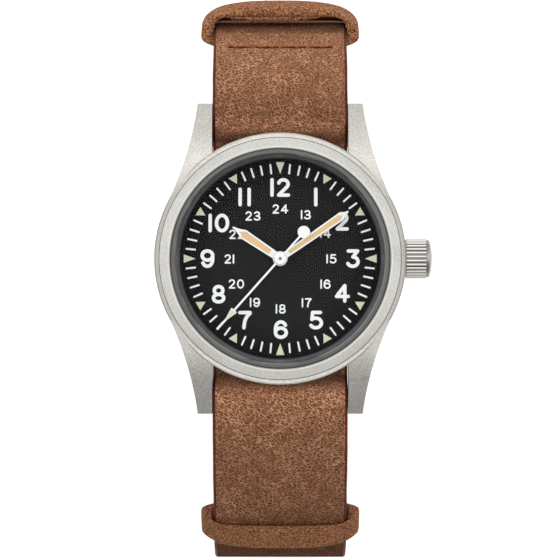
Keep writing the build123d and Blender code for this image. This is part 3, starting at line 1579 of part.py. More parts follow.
with BuildPart() as buckle_tongue:
    tongue_level = tongue_lift + tongue_thickness / 2
    leg_up = buckle_bar_height - tongue_level
    leg_bend = tongue_bend_radius * tan(radians(tongue_leg_angle / 2))
    leg_foot = buckle_bar_place - leg_up / tan(radians(tongue_leg_angle))
    eye_radius = buckle_bar_radius + running_clearance + tongue_eye_wall
    tongue_moves = [
        (leg_foot - leg_bend - tongue_tip_place, 0),
        (tongue_bend_radius, tongue_leg_angle),
        (leg_up / sin(radians(tongue_leg_angle)) - leg_bend - buckle_bar_radius - tongue_eye_wall / 2, 0),
    ]
    layer(band((tongue_tip_place, tongue_level), 0, tongue_moves, tongue_thickness, 1), tongue_width)
    with BuildSketch(Plane.YZ.offset(-tongue_width / 2)):
        with Locations((buckle_bar_place, buckle_bar_height)):
            Circle(eye_radius)
    extrude(amount=tongue_width)
    with BuildSketch(Plane.YZ.offset(-tongue_width)):
        with Locations((buckle_bar_place, buckle_bar_height)):
            Circle(buckle_bar_radius + running_clearance)
    extrude(amount=2 * tongue_width, mode=Mode.SUBTRACT)
save(buckle_tongue.part, "buckle_tongue")
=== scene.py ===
import json
from math import atan2, ceil, cos, degrees, exp, hypot, pi, radians, sin, sqrt, tan

import bmesh
import bpy
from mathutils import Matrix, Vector, noise


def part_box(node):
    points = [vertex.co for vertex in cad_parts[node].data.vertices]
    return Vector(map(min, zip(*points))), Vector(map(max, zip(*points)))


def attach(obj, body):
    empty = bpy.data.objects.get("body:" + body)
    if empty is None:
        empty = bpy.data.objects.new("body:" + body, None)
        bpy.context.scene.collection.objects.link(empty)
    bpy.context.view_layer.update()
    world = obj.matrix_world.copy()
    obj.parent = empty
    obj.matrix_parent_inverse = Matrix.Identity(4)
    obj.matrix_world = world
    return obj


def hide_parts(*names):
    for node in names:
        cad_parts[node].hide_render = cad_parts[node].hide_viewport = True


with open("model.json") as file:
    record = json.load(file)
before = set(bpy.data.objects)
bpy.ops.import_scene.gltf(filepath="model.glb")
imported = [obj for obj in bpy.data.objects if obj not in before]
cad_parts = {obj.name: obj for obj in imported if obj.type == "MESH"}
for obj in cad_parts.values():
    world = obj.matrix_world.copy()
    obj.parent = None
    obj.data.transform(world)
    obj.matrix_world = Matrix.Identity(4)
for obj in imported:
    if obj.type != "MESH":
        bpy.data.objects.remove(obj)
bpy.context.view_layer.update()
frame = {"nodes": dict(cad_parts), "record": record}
nodes = frame["nodes"]
MM = 0.001


def shown(name, data):
    """New object in the scene."""
    obj = bpy.data.objects.new(name, data)
    bpy.context.scene.collection.objects.link(obj)
    return obj


# Camera: straight down on the dial, framed as the photograph is

PICTURE = 560
PIXELS_PER_MM = 6.62
HAND_AXIS_PIXEL = (280.2, 258.6)
DIAL_TOP = 52.4
CAMERA_DISTANCE = 600.0
SENSOR = 36.0

camera_data = bpy.data.cameras.new("camera")
camera_data.sensor_width = SENSOR
camera_data.lens = SENSOR * CAMERA_DISTANCE / (PICTURE / PIXELS_PER_MM)
camera_data.clip_start = 0.01
camera_data.clip_end = 20.0
camera = shown("camera", camera_data)
camera.location = (
    (PICTURE / 2 - HAND_AXIS_PIXEL[0]) / PIXELS_PER_MM * MM,
    (HAND_AXIS_PIXEL[1] - PICTURE / 2) / PIXELS_PER_MM * MM,
    (DIAL_TOP + CAMERA_DISTANCE) * MM,
)
bpy.context.scene.camera = camera
bpy.context.scene.view_settings.view_transform = "Standard"


# Materials: places and sizes in them are in metres, noise scales in grains per metre

class Shader:
    """Short way to write a node material."""

    def __init__(self, name):
        self.material = bpy.data.materials.new(name)
        self.material.use_nodes = True
        self.tree = self.material.node_tree
        self.tree.nodes.clear()
        self.output = self.tree.nodes.new("ShaderNodeOutputMaterial")
        self.place = self.node("ShaderNodeTexCoord").outputs["Object"]

    def node(self, kind, values=None, **settings):
        """New node; values maps its sockets to numbers, colours or outputs of other nodes."""
        made = self.tree.nodes.new(kind)
        for key, value in settings.items():
            setattr(made, key, value)
        for key, value in (values or {}).items():
            socket = made.inputs[key]
            if isinstance(value, bpy.types.NodeSocket):
                self.tree.links.new(value, socket)
            elif socket.type == "RGBA":
                socket.default_value = (*value, 1.0)
            else:
                socket.default_value = value
        return made

    def noise(self, scale, detail=3.0, roughness=0.55, distortion=0.0, source=None):
        return self.node("ShaderNodeTexNoise", {
            "Scale": scale, "Detail": detail, "Roughness": roughness, "Distortion": distortion,
            "Vector": source or self.place}).outputs["Fac"]

    def stretched(self, scales, source=None, turn=(0, 0, 0)):
        return self.node("ShaderNodeMapping", {
            "Scale": scales, "Rotation": turn, "Vector": source or self.place}).outputs["Vector"]

    def vector(self, operation, first, values):
        return self.node("ShaderNodeVectorMath", {0: first, **values},
                         operation=operation).outputs["Vector"]

    def warped(self, amount, scale):
        """Coordinates pushed about by a noise, amount in metres."""
        push = self.node("ShaderNodeTexNoise", {
            "Scale": scale, "Detail": 2.0, "Vector": self.place}).outputs["Color"]
        push = self.vector("SCALE", self.vector("SUBTRACT", push, {1: (0.5, 0.5, 0.5)}),
                           {"Scale": amount})
        return self.vector("ADD", self.place, {1: push})

    def cells(self, scale, source):
        """Distance to the nearest edge between irregular cells."""
        return self.node("ShaderNodeTexVoronoi", {"Scale": scale, "Vector": source},
                         feature="DISTANCE_TO_EDGE").outputs["Distance"]

    def ramp(self, source, *stops):
        made = self.node("ShaderNodeValToRGB", {"Fac": source})
        band = made.color_ramp
        while len(band.elements) < len(stops):
            band.elements.new(0.5)
        for element, (at, colour) in zip(band.elements, stops):
            element.position = at
            element.color = (*colour, 1.0)
        return made.outputs["Color"]

    def level(self, source, low, high, from_low=0.0, from_high=1.0, smooth=True):
        """The range from_low to from_high mapped to low to high, and held there beyond it."""
        return self.node("ShaderNodeMapRange", {
            "Value": source, "From Min": from_low, "From Max": from_high, "To Min": low,
            "To Max": high}, interpolation_type="SMOOTHSTEP" if smooth else "LINEAR",
        ).outputs["Result"]

    def math(self, operation, first, second=0.0):
        return self.node("ShaderNodeMath", {0: first, 1: second},
                         operation=operation).outputs["Value"]

    def times(self, first, second):
        return self.math("MULTIPLY", first, second)

    def plus(self, first, second):
        return self.math("ADD", first, second)

    def blend(self, first, share, second, other_share):
        """Two values added in given shares."""
        return self.plus(self.times(first, share), self.times(second, other_share))

    def distance(self, first, second):
        """Distance from the axis that two coordinates are measured from."""
        return self.math("POWER", self.plus(self.times(first, first), self.times(second, second)),
                         0.5)

    def mix(self, factor, first, second, blend="MIX"):
        # the colour sockets of a mix node are 6 and 7, and its colour output is 2
        return self.node("ShaderNodeMix", {0: factor, 6: first, 7: second}, data_type="RGBA",
                         blend_type=blend).outputs[2]

    def split(self, source=None):
        return self.node("ShaderNodeSeparateXYZ", {"Vector": source or self.place}).outputs

    def bump(self, height, strength, distance, under=None):
        values = {"Strength": strength, "Distance": distance, "Height": height}
        if under is not None:
            values["Normal"] = under
        return self.node("ShaderNodeBump", values).outputs["Normal"]

    def show(self, surface):
        self.tree.links.new(surface, self.output.inputs["Surface"])
        return self.material

    def principled(self, colour, roughness, normal=None, metallic=0.0, **sockets):
        """Makes this the material's surface and gives the material back."""
        values = {"Base Color": colour, "Roughness": roughness, "Metallic": metallic, **sockets}
        if normal is not None:
            values["Normal"] = normal
        return self.show(self.node("ShaderNodeBsdfPrincipled", values).outputs["BSDF"])


def shade(colour, share):
    return tuple(min(1.0, share * c) for c in colour)


def specular(level):
    return {"Specular IOR Level": level}


def steel(name, colour, roughness, grain, strength, streak=None, spread=0.20, bore=None,
          flank=None):
    """Metal with a blasted or turned surface.

    It has painted shade inside the radius bore, and outside the radius flank at the left and right.
    """
    s = Shader(name)
    fine = s.noise(grain, 4.0, 0.7)
    broad = s.noise(grain / 14, 2.0)
    tone = s.ramp(s.blend(fine, 0.9, broad, 0.1),
                  (0.36, shade(colour, 1 - spread)), (0.64, shade(colour, 1 + spread / 2)))
    place = s.split()
    radius = s.distance(place["X"], place["Y"])
    # painted shade over the bore's edge, in place of its highlight
    if bore:
        dark = s.level(radius, 1.0, 0.0, bore - 0.00005, bore + 0.00010)
        tone = s.mix(dark, tone, shade(colour, 0.45))
    # painted shade on the flank outside the bezel, at the left and right
    if flank:
        at_sides = s.level(s.math("ABSOLUTE", place["Y"]), 0.55, 0.0, 0.008, 0.0155)
        outside = s.level(radius, 0.0, 1.0, flank - 0.0001, flank + 0.0001)
        tone = s.mix(s.times(outside, at_sides), tone, shade(colour, 0.45))
    normal = s.bump(fine, strength, 0.00002)
    if streak:
        lines = s.noise(grain / 3, 2.0, 0.5, source=s.stretched(streak))
        normal = s.bump(lines, strength, 0.00001, normal)
    return s.principled(tone, s.level(fine, roughness - 0.05, roughness + 0.07, 0.3, 0.7), normal,
                        metallic=1.0)


def ribbed_steel(name, axis_height, low, high, cap_start, skirt_end):
    """Crown: bright rib tops, dark valleys between them from painted shade and some dirt, and a
    darker cap and skirt.
    """
    s = Shader(name)
    place = s.split()
    radius = s.distance(place["Y"], s.plus(place["Z"], -axis_height))
    # painted shade, with some dirt, darkens the valleys between the ribs
    ribs = s.ramp(s.level(radius, 0.0, 1.0, low, high), (0.05, (0.17, 0.163, 0.15)),
                  (0.55, (0.40, 0.39, 0.365)), (0.95, (0.66, 0.645, 0.61)))
    ends = s.plus(s.level(place["X"], 0.0, 1.0, cap_start, cap_start + 0.0002),
                  s.level(place["X"], 1.0, 0.0, skirt_end - 0.0001, skirt_end + 0.0001))
    fine = s.noise(5200.0, 4.0, 0.7)
    plain = s.ramp(fine, (0.35, (0.20, 0.195, 0.18)), (0.65, (0.34, 0.33, 0.31)))
    return s.principled(s.mix(ends, ribs, plain), s.level(fine, 0.28, 0.40, 0.3, 0.7),
                        s.bump(fine, 0.25, 0.00002), metallic=1.0)


def plastic(name, colour, roughness, grain=9000.0, strength=0.15, spread=0.12):
    """Plastic, lacquer or print with a fine grain."""
    s = Shader(name)
    fine = s.noise(grain, 3.0)
    tone = s.ramp(fine, (0.3, shade(colour, 1 - spread)), (0.7, shade(colour, 1 + spread)))
    return s.principled(tone, s.level(fine, roughness - 0.04, roughness + 0.05, 0.3, 0.7),
                        s.bump(fine, strength, 0.00001))


def crystal_glass():
    """Clear plate: what lies under it shows through, and its outside mirrors the room a little."""
    s = Shader("crystal_clear")
    geometry = s.node("ShaderNodeNewGeometry").outputs
    clear = s.node("ShaderNodeBsdfTransparent", {"Color": (0.975, 0.98, 0.975)})
    shine = s.node("ShaderNodeBsdfGlossy", {
        "Color": (0.9, 0.93, 1.0),
        "Roughness": s.level(s.noise(1500.0, 2.0), 0.015, 0.04, 0.35, 0.7)})
    facing = s.node("ShaderNodeLayerWeight").outputs["Facing"]
    gloss = s.plus(s.times(s.math("POWER", facing, 4.0), 0.45), 0.004)
    outside = s.math("SUBTRACT", 1.0, geometry["Backfacing"])
    plate = s.node("ShaderNodeMixShader", {
        0: s.times(gloss, outside), 1: clear.outputs["BSDF"], 2: shine.outputs["BSDF"]})
    # the bevelled edge is painted opaque dark grey-green, as painted refraction of what lies under
    # it
    edge = s.node("ShaderNodeBsdfPrincipled", {
        "Base Color": (0.105, 0.104, 0.092), "Roughness": 0.28, **specular(0.8)})
    slope = s.math("ABSOLUTE", s.split(geometry["Normal"])["Z"])
    both = s.node("ShaderNodeMixShader", {
        0: s.level(slope, 0.78, 0.0, 0.80, 0.97), 1: plate.outputs["Shader"],
        2: edge.outputs["BSDF"]})
    return s.show(both.outputs["Shader"])


# along Y, in metres: where the rings' painted shadows fall on the strap, and the ends of its
# painted shade along the strap
UPPER_RING_SHADOW, LOWER_RING_SHADOW = (0.0347, 0.0352), (-0.0436, -0.0446)
SHADE_GRADIENT_ENDS = (-0.042, 0.034)
# share of the way between those ends, and the tone there
SHADE_GRADIENT = ((0.00, 0.47), (0.08, 0.52), (0.21, 0.61), (0.26, 0.72), (0.30, 1.0), (0.805, 1.0),
        (0.84, 0.50), (0.90, 0.66), (0.97, 0.73))
# heights between which the painted shading sets in, and the even tone below them
SHADED_HEIGHTS, EVEN_TONE = (0.014, 0.026), 0.62


def grained_leather(name, dark, middle, light):
    """Pebbled leather: pits between wrinkles, with the wrinkles worn lighter, and painted ring
    shadows and painted shade along the strap.
    """
    s = Shader(name)
    turned = s.stretched((1.0, 1.0, 1.0), s.warped(0.0005, 900.0), (0, 0, radians(36)))
    ridge = s.level(s.cells(2150.0, s.stretched((0.50, 1.30, 1.30), turned)), 1.0, 0.0, 0.0, 0.15)
    fine_ridge = s.level(s.cells(4200.0, s.stretched((0.65, 1.2, 1.2), turned)),
                         1.0, 0.0, 0.0, 0.20)
    patch = s.noise(420.0, 3.0, 0.6)
    cloud = s.noise(75.0, 3.0, 0.5)
    grit = s.noise(5600.0, 3.0, 0.75, source=s.stretched((0.6, 1.2, 1.2), turned))
    strength = s.level(patch, 0.5, 1.0, 0.35, 0.65)
    lines = s.blend(s.times(ridge, strength), 0.60, fine_ridge, 0.20)
    speck = s.level(grit, 0.0, 0.62, 0.32, 0.68, smooth=False)
    tone = s.ramp(s.plus(lines, speck), (0.20, dark), (0.52, middle), (0.98, light))
    tone = s.mix(s.level(cloud, 0.0, 0.22, 0.35, 0.7), tone, shade(middle, 0.8))
    place = s.split()
    along = place["Y"]
    high = s.level(place["Z"], 0.0, 1.0, *SHADED_HEIGHTS)
    # painted shadow where the rings shade the strap
    ring_shadow = s.plus(s.level(along, 0.0, 0.42, *UPPER_RING_SHADOW),
                    s.level(along, 0.0, 0.62, *LOWER_RING_SHADOW))
    tone = s.mix(s.times(ring_shadow, high), tone, (0.060, 0.028, 0.017))
    # painted light and shade: paler towards the case on the lower strap and darker towards it on
    # the upper one
    shade_gradient = s.ramp(s.level(along, 0.0, 1.0, *SHADE_GRADIENT_ENDS, smooth=False),
                  *[(at, (grey, grey, grey)) for at, grey in SHADE_GRADIENT])
    shade_gradient = s.mix(high, (EVEN_TONE, EVEN_TONE, EVEN_TONE), shade_gradient)
    tone = s.mix(1.0, tone, shade_gradient, "MULTIPLY")
    height = s.plus(s.blend(ridge, 0.9, fine_ridge, 0.4), s.times(grit, 0.5))
    return s.principled(tone, s.level(ridge, 0.80, 0.66), s.bump(height, 0.6, 0.00008),
                        **specular(0.0))


def suede(name, dark, middle, light):
    """Napped leather with a fine light and dark speckle, and painted shade on the lower strap."""
    s = Shader(name)
    value = s.blend(s.noise(3600.0, 3.0, 0.7, 0.5), 0.7, s.noise(7000.0, 3.0, 0.7), 0.3)
    tone = s.ramp(value, (0.40, dark), (0.50, middle), (0.60, light))
    cloud = s.noise(160.0, 3.0, 0.55)
    tone = s.mix(s.level(cloud, 0.0, 0.3, 0.35, 0.7), tone, shade(middle, 0.75))
    # painted shade: darker on the lower strap
    tone = s.mix(s.level(s.split()["Y"], 0.30, 0.0, -0.01, 0.01), tone, shade(middle, 0.45))
    return s.principled(tone, 0.9, s.bump(value, 0.7, 0.00012), **specular(0.06))


def burnished_edge():
    """Cut edge of the leather, stained dark red in layers."""
    s = Shader("burnished_edge")
    layers = s.noise(900.0, 3.0, 0.6, source=s.stretched((1.0, 0.35, 0.35)))
    tone = s.ramp(layers, (0.3, (0.045, 0.009, 0.006)), (0.7, (0.13, 0.030, 0.018)))
    return s.principled(tone, s.level(layers, 0.45, 0.65), s.bump(layers, 0.3, 0.00006),
                        **specular(0.08))


def flesh_side(name, dark, light):
    """Inner side of the leather, smoother than the outside."""
    s = Shader(name)
    fibre = s.noise(1700.0, 4.0, 0.7, 0.6)
    tone = s.ramp(s.blend(fibre, 0.6, s.noise(140.0, 2.0), 0.4), (0.36, dark), (0.64, light))
    return s.principled(tone, 0.85, s.bump(fibre, 0.45, 0.00006), **specular(0.05))


def thread():
    s = Shader("waxed_thread")
    strands = s.noise(5200.0, 3.0, 0.6, source=s.stretched((0.35, 1.0, 1.0), turn=(0, 0, 0.5)))
    tone = s.ramp(strands, (0.3, (0.17, 0.046, 0.013)), (0.7, (0.44, 0.155, 0.050)))
    return s.principled(tone, 0.55, s.bump(strands, 0.6, 0.00004))


def dial_black():
    """Matt black, darker towards the rim, where the flange shades it."""
    s = Shader("dial_matte_black")
    fine = s.noise(15000.0, 3.0, 0.7)
    tone = s.ramp(s.blend(fine, 0.5, s.noise(150.0, 2.0), 0.5),
                  (0.35, (0.0128, 0.0128, 0.0131)), (0.65, (0.0142, 0.0142, 0.0145)))
    place = s.split()
    rim = s.level(s.distance(place["X"], place["Y"]), 0.0, 0.8, 0.0095, 0.0150)
    return s.principled(s.mix(rim, tone, (0.0030, 0.0030, 0.0031)),
                        s.level(fine, 0.62, 0.78, 0.3, 0.7), s.bump(fine, 0.05, 0.00001),
                        **specular(0.05))


def flange_steps():
    """Dark turned ring round the dial, with two fine bright edges given as painted highlights."""
    s = Shader("flange_steps")
    place = s.split()
    share = s.level(s.distance(place["X"], place["Y"]), 0.0, 1.0, 0.0150, 0.0160, smooth=False)
    # painted highlights at shares 0.40 and 0.92 stand for the steps' bright edges
    tone = s.ramp(share, (0.10, (0.030, 0.030, 0.031)), (0.28, (0.085, 0.087, 0.094)),
                  (0.40, (0.22, 0.225, 0.24)), (0.52, (0.100, 0.102, 0.110)),
                  (0.80, (0.125, 0.127, 0.132)), (0.92, (0.36, 0.36, 0.35)))
    fine = s.noise(9000.0, 3.0)
    return s.principled(tone, s.level(fine, 0.30, 0.42, 0.3, 0.7), s.bump(fine, 0.1, 0.00001))


finishes = {
    "case_steel": steel("blasted_steel", (0.54, 0.52, 0.485), 0.42, 4600.0, 0.6, spread=0.34,
                        flank=0.0183),
    "bright_steel": steel("turned_steel", (0.66, 0.66, 0.67), 0.24, 9000.0, 0.15,
                          (1.0, 6.0, 6.0)),
    "buckle_steel": steel("satin_steel", (0.60, 0.59, 0.565), 0.34, 9000.0, 0.25,
                          (0.3, 3.0, 3.0)),
    "crystal": crystal_glass(),
    "rubber": plastic("gasket_rubber", (0.02, 0.02, 0.02), 0.6),
    "dial_black": dial_black(),
    "hand_white": plastic("white_lacquer", (0.97, 0.97, 0.965), 0.42, 12000.0, 0.05, 0.03),
    "lume_tan": plastic("aged_lume", (0.84, 0.55, 0.30), 0.75, 14000.0, 0.30, 0.10),
    "lume_pale": plastic("pale_lume", (0.72, 0.74, 0.52), 0.75, 14000.0, 0.30, 0.08),
    "holder": plastic("holder_plastic", (0.16, 0.16, 0.165), 0.5),
    "rhodium": steel("plated_bridges", (0.66, 0.65, 0.62), 0.30, 7000.0, 0.15, (1.0, 9.0, 1.0)),
    "brass": steel("gilt_brass", (0.76, 0.56, 0.24), 0.28, 9000.0, 0.12),
    "blued_steel": steel("blued_steel", (0.07, 0.12, 0.36), 0.25, 9000.0, 0.10),
    "pin_steel": steel("pin_steel", (0.20, 0.20, 0.21), 0.25, 9000.0, 0.05),
    "ruby": plastic("ruby_jewel", (0.50, 0.02, 0.09), 0.12, 6000.0, 0.02, 0.10),
    "strap_leather": grained_leather("grained_leather", (0.095, 0.030, 0.012),
                                     (0.355, 0.150, 0.079), (0.88, 0.47, 0.275)),
    "ring_leather": suede("suede_leather", (0.050, 0.015, 0.005), (0.235, 0.095, 0.043),
                          (0.62, 0.31, 0.165)),
    "thread": thread(),
}
edge_finish = burnished_edge()
lining_finish = flesh_side("leather_lining", (0.15, 0.062, 0.032), (0.30, 0.140, 0.078))
# dark flesh side for the rings' bores, as painted shade
shaded_lining_finish = flesh_side("painted_shade_lining", (0.030, 0.016, 0.011), (0.062, 0.031, 0.020))
# dark thread for the painted shadow strand under each stitch and for some dark frayed fibres
shadow_and_dark_fibre_finish = plastic("shadow_and_dark_fibre_thread", (0.040, 0.014, 0.006), 0.8, 5200.0, 0.5, 0.4)
print_white = plastic("print_white", (0.97, 0.97, 0.97), 0.55, 12000.0, 0.08, 0.03)
print_lume = plastic("print_lume", (0.77, 0.745, 0.56), 0.8, 14000.0, 0.35, 0.08)

BEZEL_BORE = 0.01676
RIB_DEPTHS = (0.00021, 0.00002)
CROWN_SKIRT, CROWN_CAP = 0.0004, 0.0034
crown_low, crown_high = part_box("crown")
crown_middle = (crown_low[2] + crown_high[2]) / 2
crown_outside = (crown_high[2] - crown_low[2]) / 2
own_finish = {
    "dial_flange": flange_steps(),
    "bezel": steel("satin_bezel", (0.655, 0.64, 0.605), 0.40, 4600.0, 0.5, spread=0.26,
                   bore=BEZEL_BORE),
    "crown": ribbed_steel("ribbed_crown", crown_middle, crown_outside - RIB_DEPTHS[0],
                          crown_outside - RIB_DEPTHS[1], crown_low[0] + CROWN_CAP,
                          crown_low[0] + CROWN_SKIRT),
}
slot_of = {entry["node"]: entry["material_slot"] for entry in frame["record"]["subparts"]}
for name, obj in nodes.items():
    obj.data.materials.clear()
    obj.data.materials.append(own_finish.get(name) or finishes[slot_of[name]])


# Mesh building

def add_piece(name, points, faces, materials, body, kinds=None, smooth=True, sharp=None):
    """Mesh piece from points in millimetres, with its normals turned outwards."""
    mesh = bpy.data.meshes.new(name)
    mesh.from_pydata([tuple(c * MM for c in p) for p in points], [], faces)
    for material in materials:
        mesh.materials.append(material)
    for polygon, kind in zip(mesh.polygons, kinds or [0] * len(faces)):
        polygon.material_index = kind
        polygon.use_smooth = smooth
    mesh.update()
    obj = shown(name, mesh)
    if sharp:
        mesh.set_sharp_from_angle(angle=radians(sharp))
    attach(obj, body)
    tidy_normals(mesh)
    return obj


def tidy_normals(mesh):
    work = bmesh.new()
    work.from_mesh(mesh)
    bmesh.ops.recalc_face_normals(work, faces=work.faces)
    work.to_mesh(mesh)
    work.free()


def rows(count, number, first=0):
    """Point numbers of rings of points that lie one after another."""
    return [list(range(first + count * k, first + count * (k + 1))) for k in range(number)]


def quads(rings):
    """Faces from each closed ring of point numbers to the next."""
    return [[one[k], one[(k + 1) % len(one)], after[(k + 1) % len(one)], after[k]]
            for one, after in zip(rings, rings[1:]) for k in range(len(one))]


def tube(rings):
    """Faces of a run of rings with both ends closed."""
    return quads(rings) + [rings[0][::-1], rings[-1]]


def face_kinds(section, border):
    """Material of each face round a section: its points' kind, or border where two kinds meet."""
    line = [kind for _, _, kind in section]
    return [kind if kind == line[(k + 1) % len(line)] else border for k, kind in enumerate(line)]


def on_circle(radius, angle):
    return radius * cos(angle), radius * sin(angle)


def held(value):
    """The value held between 0 and 1."""
    return min(1.0, max(0.0, value))


# Print on the dial: numbers drawn as round-ended strokes

PRINT_RISE, PRINT_LAYER, PRINT_LAYERS = 0.012, 0.0012, 5
TRIANGLE_RISE, TRIANGLE_DEPTH = 0.05, 0.01
SAME_POINT = 1e-4
ARC_STEP, CAP_STEPS = 12, 12


def arc(cx, cy, rx, ry, start, end):
    """Points along an arc, in shares of the figure's width and height."""
    count = max(6, ceil(abs(end - start) / ARC_STEP))
    angles = [radians(start + (end - start) * k / count) for k in range(count + 1)]
    return [(cx + rx * cos(angle), cy + ry * sin(angle)) for angle in angles]


# centre lines of each figure; 0 to 1 across and up
figure_shares = {
    "0": [arc(0.5, 0.5, 0.5, 0.5, 90, 450)],
    "2": [arc(0.5, 0.72, 0.47, 0.28, 165, -38), [(0.87, 0.548), (0.03, 0.0)], [(0.03, 0), (1, 0)]],
    "3": [arc(0.47, 0.745, 0.44, 0.255, 155, -90), [(0.36, 0.49), (0.47, 0.49)],
          arc(0.47, 0.245, 0.53, 0.245, 90, -155)],
    "4": [[(0.74, 1), (0.02, 0.30)], [(0.02, 0.30), (1.04, 0.30)], [(0.74, 1), (0.74, 0)]],
    "5": [[(0.90, 1), (0.17, 1)], [(0.17, 1), (0.10, 0.56)],
          arc(0.47, 0.315, 0.53, 0.315, 133, -150)],
    "6": [arc(0.5, 0.30, 0.5, 0.30, 0, 360), [(0, 0.30), (0, 0.55)],
          arc(0.5, 0.55, 0.5, 0.45, 180, 32)],
    "7": [[(0, 1), (1, 1)], arc(1.42, 0.02, 1.02, 1.02, 115, 180)],
    "8": [arc(0.5, 0.745, 0.42, 0.255, 0, 360), arc(0.5, 0.245, 0.5, 0.245, 0, 360)],
    "9": [arc(0.5, 0.70, 0.5, 0.30, 0, 360), [(1, 0.70), (1, 0.45)],
          arc(0.5, 0.45, 0.5, 0.45, 0, -148)],
    "flat 3": [[(0.04, 1), (0.95, 1)], [(0.95, 1), (0.50, 0.605)],
               arc(0.47, 0.305, 0.53, 0.305, 88, -155)],
}
figure_width = {"0": 2.20, "2": 2.05, "3": 2.10, "flat 3": 2.05, "4": 2.25, "5": 2.12, "6": 2.15,
                "7": 2.05, "8": 2.08, "9": 2.12}


def stroke_edges(line, width, closed):
    """Left and right edges of a stroke along a line of points, and the fans that round its ends."""
    half = width / 2
    clean = [line[0]]
    for point in line[1:]:
        if hypot(point[0] - clean[-1][0], point[1] - clean[-1][1]) > SAME_POINT:
            clean.append(point)
    if closed:
        clean = clean[:-1]
    count = len(clean)
    left, right, leans = [], [], []
    for k, (x, y) in enumerate(clean):
        before = clean[k - 1] if closed or k else clean[0]
        after = clean[(k + 1) % count] if closed or k < count - 1 else clean[-1]
        lean = atan2(after[1] - before[1], after[0] - before[0])
        leans.append(lean)
        left.append((x - half * sin(lean), y + half * cos(lean)))
        right.append((x + half * sin(lean), y - half * cos(lean)))

    def cap(centre, lean, turn):
        angles = [lean + turn - pi * k / CAP_STEPS for k in range(CAP_STEPS + 1)]
        return [(centre[0] + half * cos(a), centre[1] + half * sin(a)) for a in angles]

    return left, right, [cap(clean[-1], leans[-1], pi / 2), cap(clean[0], leans[0], -pi / 2)]


class Print:
    """Raised print of one colour, gathered into one mesh."""

    def __init__(self):
        self.points = []
        self.faces = []
        self.layers = 0

    def level(self, rise):
        """Height of the next stroke, a hair above the last one."""
        self.layers += 1
        return DIAL_TOP + rise + PRINT_LAYER * ((self.layers - 1) % PRINT_LAYERS)

    def strip(self, line, width):
        """One stroke as a strip of quads with fans at its ends."""
        closed = hypot(line[0][0] - line[-1][0], line[0][1] - line[-1][1]) < SAME_POINT
        left, right, caps = stroke_edges(line, width, closed)
        top = self.level(PRINT_RISE)
        start = len(self.points)
        count = len(left)
        self.points += [(x, y, top) for x, y in left + right]
        for k in range(count if closed else count - 1):
            n = (k + 1) % count
            self.faces.append([start + k, start + count + k, start + count + n, start + n])
        for fan in [] if closed else caps:
            self.faces += rows(len(fan), 1, len(self.points))
            self.points += [(x, y, top) for x, y in fan]

    def plate(self, outline, rise):
        """Flat raised shape with walls down into the dial."""
        rings = rows(len(outline), 2, len(self.points))
        for z in (DIAL_TOP - TRIANGLE_DEPTH, self.level(rise)):
            self.points += [(x, y, z) for x, y in outline]
        self.faces += [rings[1]] + quads(rings)

    def figure(self, mark, centre, width, height, stroke):
        for line in figure_shares[mark]:
            self.strip([(centre[0] + (x - 0.5) * (width - stroke),
                         centre[1] + (y - 0.5) * (height - stroke)) for x, y in line], stroke)

    def number(self, text, place, height, stroke, scale, gap):
        """Figures side by side, centred on a place."""
        widths = [stroke if mark == "1" else figure_width[mark] * scale for mark in text]
        left = place[0] - (sum(widths) + gap * (len(text) - 1)) / 2
        for mark, width in zip(text, widths):
            middle = left + width / 2
            if mark == "1":
                reach = (height - stroke) / 2
                self.strip([(middle, place[1] - reach), (middle, place[1] + reach)], stroke)
            else:
                self.figure(mark, (middle, place[1]), width, height, stroke)
            left += width + gap


def on_dial(radius, hour, nudges):
    """Place at a radius and an hour, moved by the hour's nudge."""
    x, y = nudges.get(hour, (0.0, 0.0))
    return radius * sin(radians(30 * hour)) + x, radius * cos(radians(30 * hour)) + y


HOUR_HEIGHT, HOUR_STROKE, HOUR_GAP, ELEVEN_GAP = 2.84, 0.53, 0.42, 0.83
DAY_HEIGHT, DAY_STROKE, DAY_GAP, DAY_SCALE = 1.42, 0.235, 0.26, 0.49
HOUR_RADIUS, SIDE_HOUR_RADIUS, DAY_RADIUS, TOP_DAY_RADIUS = 10.75, 11.0, 7.65, 7.5
hour_nudge = {2: (0.03, 0.26), 4: (0.03, 0.13), 5: (0.05, 0.02), 6: (0.10, 0.03), 7: (0.05, 0.0),
              10: (0.04, 0.0)}
day_nudge = {1: (0.05, 0.0), 2: (0.20, 0.0), 3: (0.09, -0.03), 4: (0.22, -0.03), 5: (0.17, -0.06),
             6: (0.07, 0.05), 9: (-0.04, -0.05), 10: (0.04, -0.16), 11: (-0.30, -0.18)}
white, lume = Print(), Print()
for hour in range(1, 13):
    white.number(["flat 3"] if hour == 3 else str(hour),
                 on_dial(SIDE_HOUR_RADIUS if hour in (3, 9) else HOUR_RADIUS, hour, hour_nudge),
                 HOUR_HEIGHT, HOUR_STROKE, 1.0, ELEVEN_GAP if hour == 11 else HOUR_GAP)
    white.number(str(hour + 12),
                 on_dial(TOP_DAY_RADIUS if hour == 12 else DAY_RADIUS, hour, day_nudge),
                 DAY_HEIGHT, DAY_STROKE, DAY_SCALE, DAY_GAP)

TICK_INNER, TICK_OUTER, TICK_WIDTH = 12.80, 14.37, 0.28
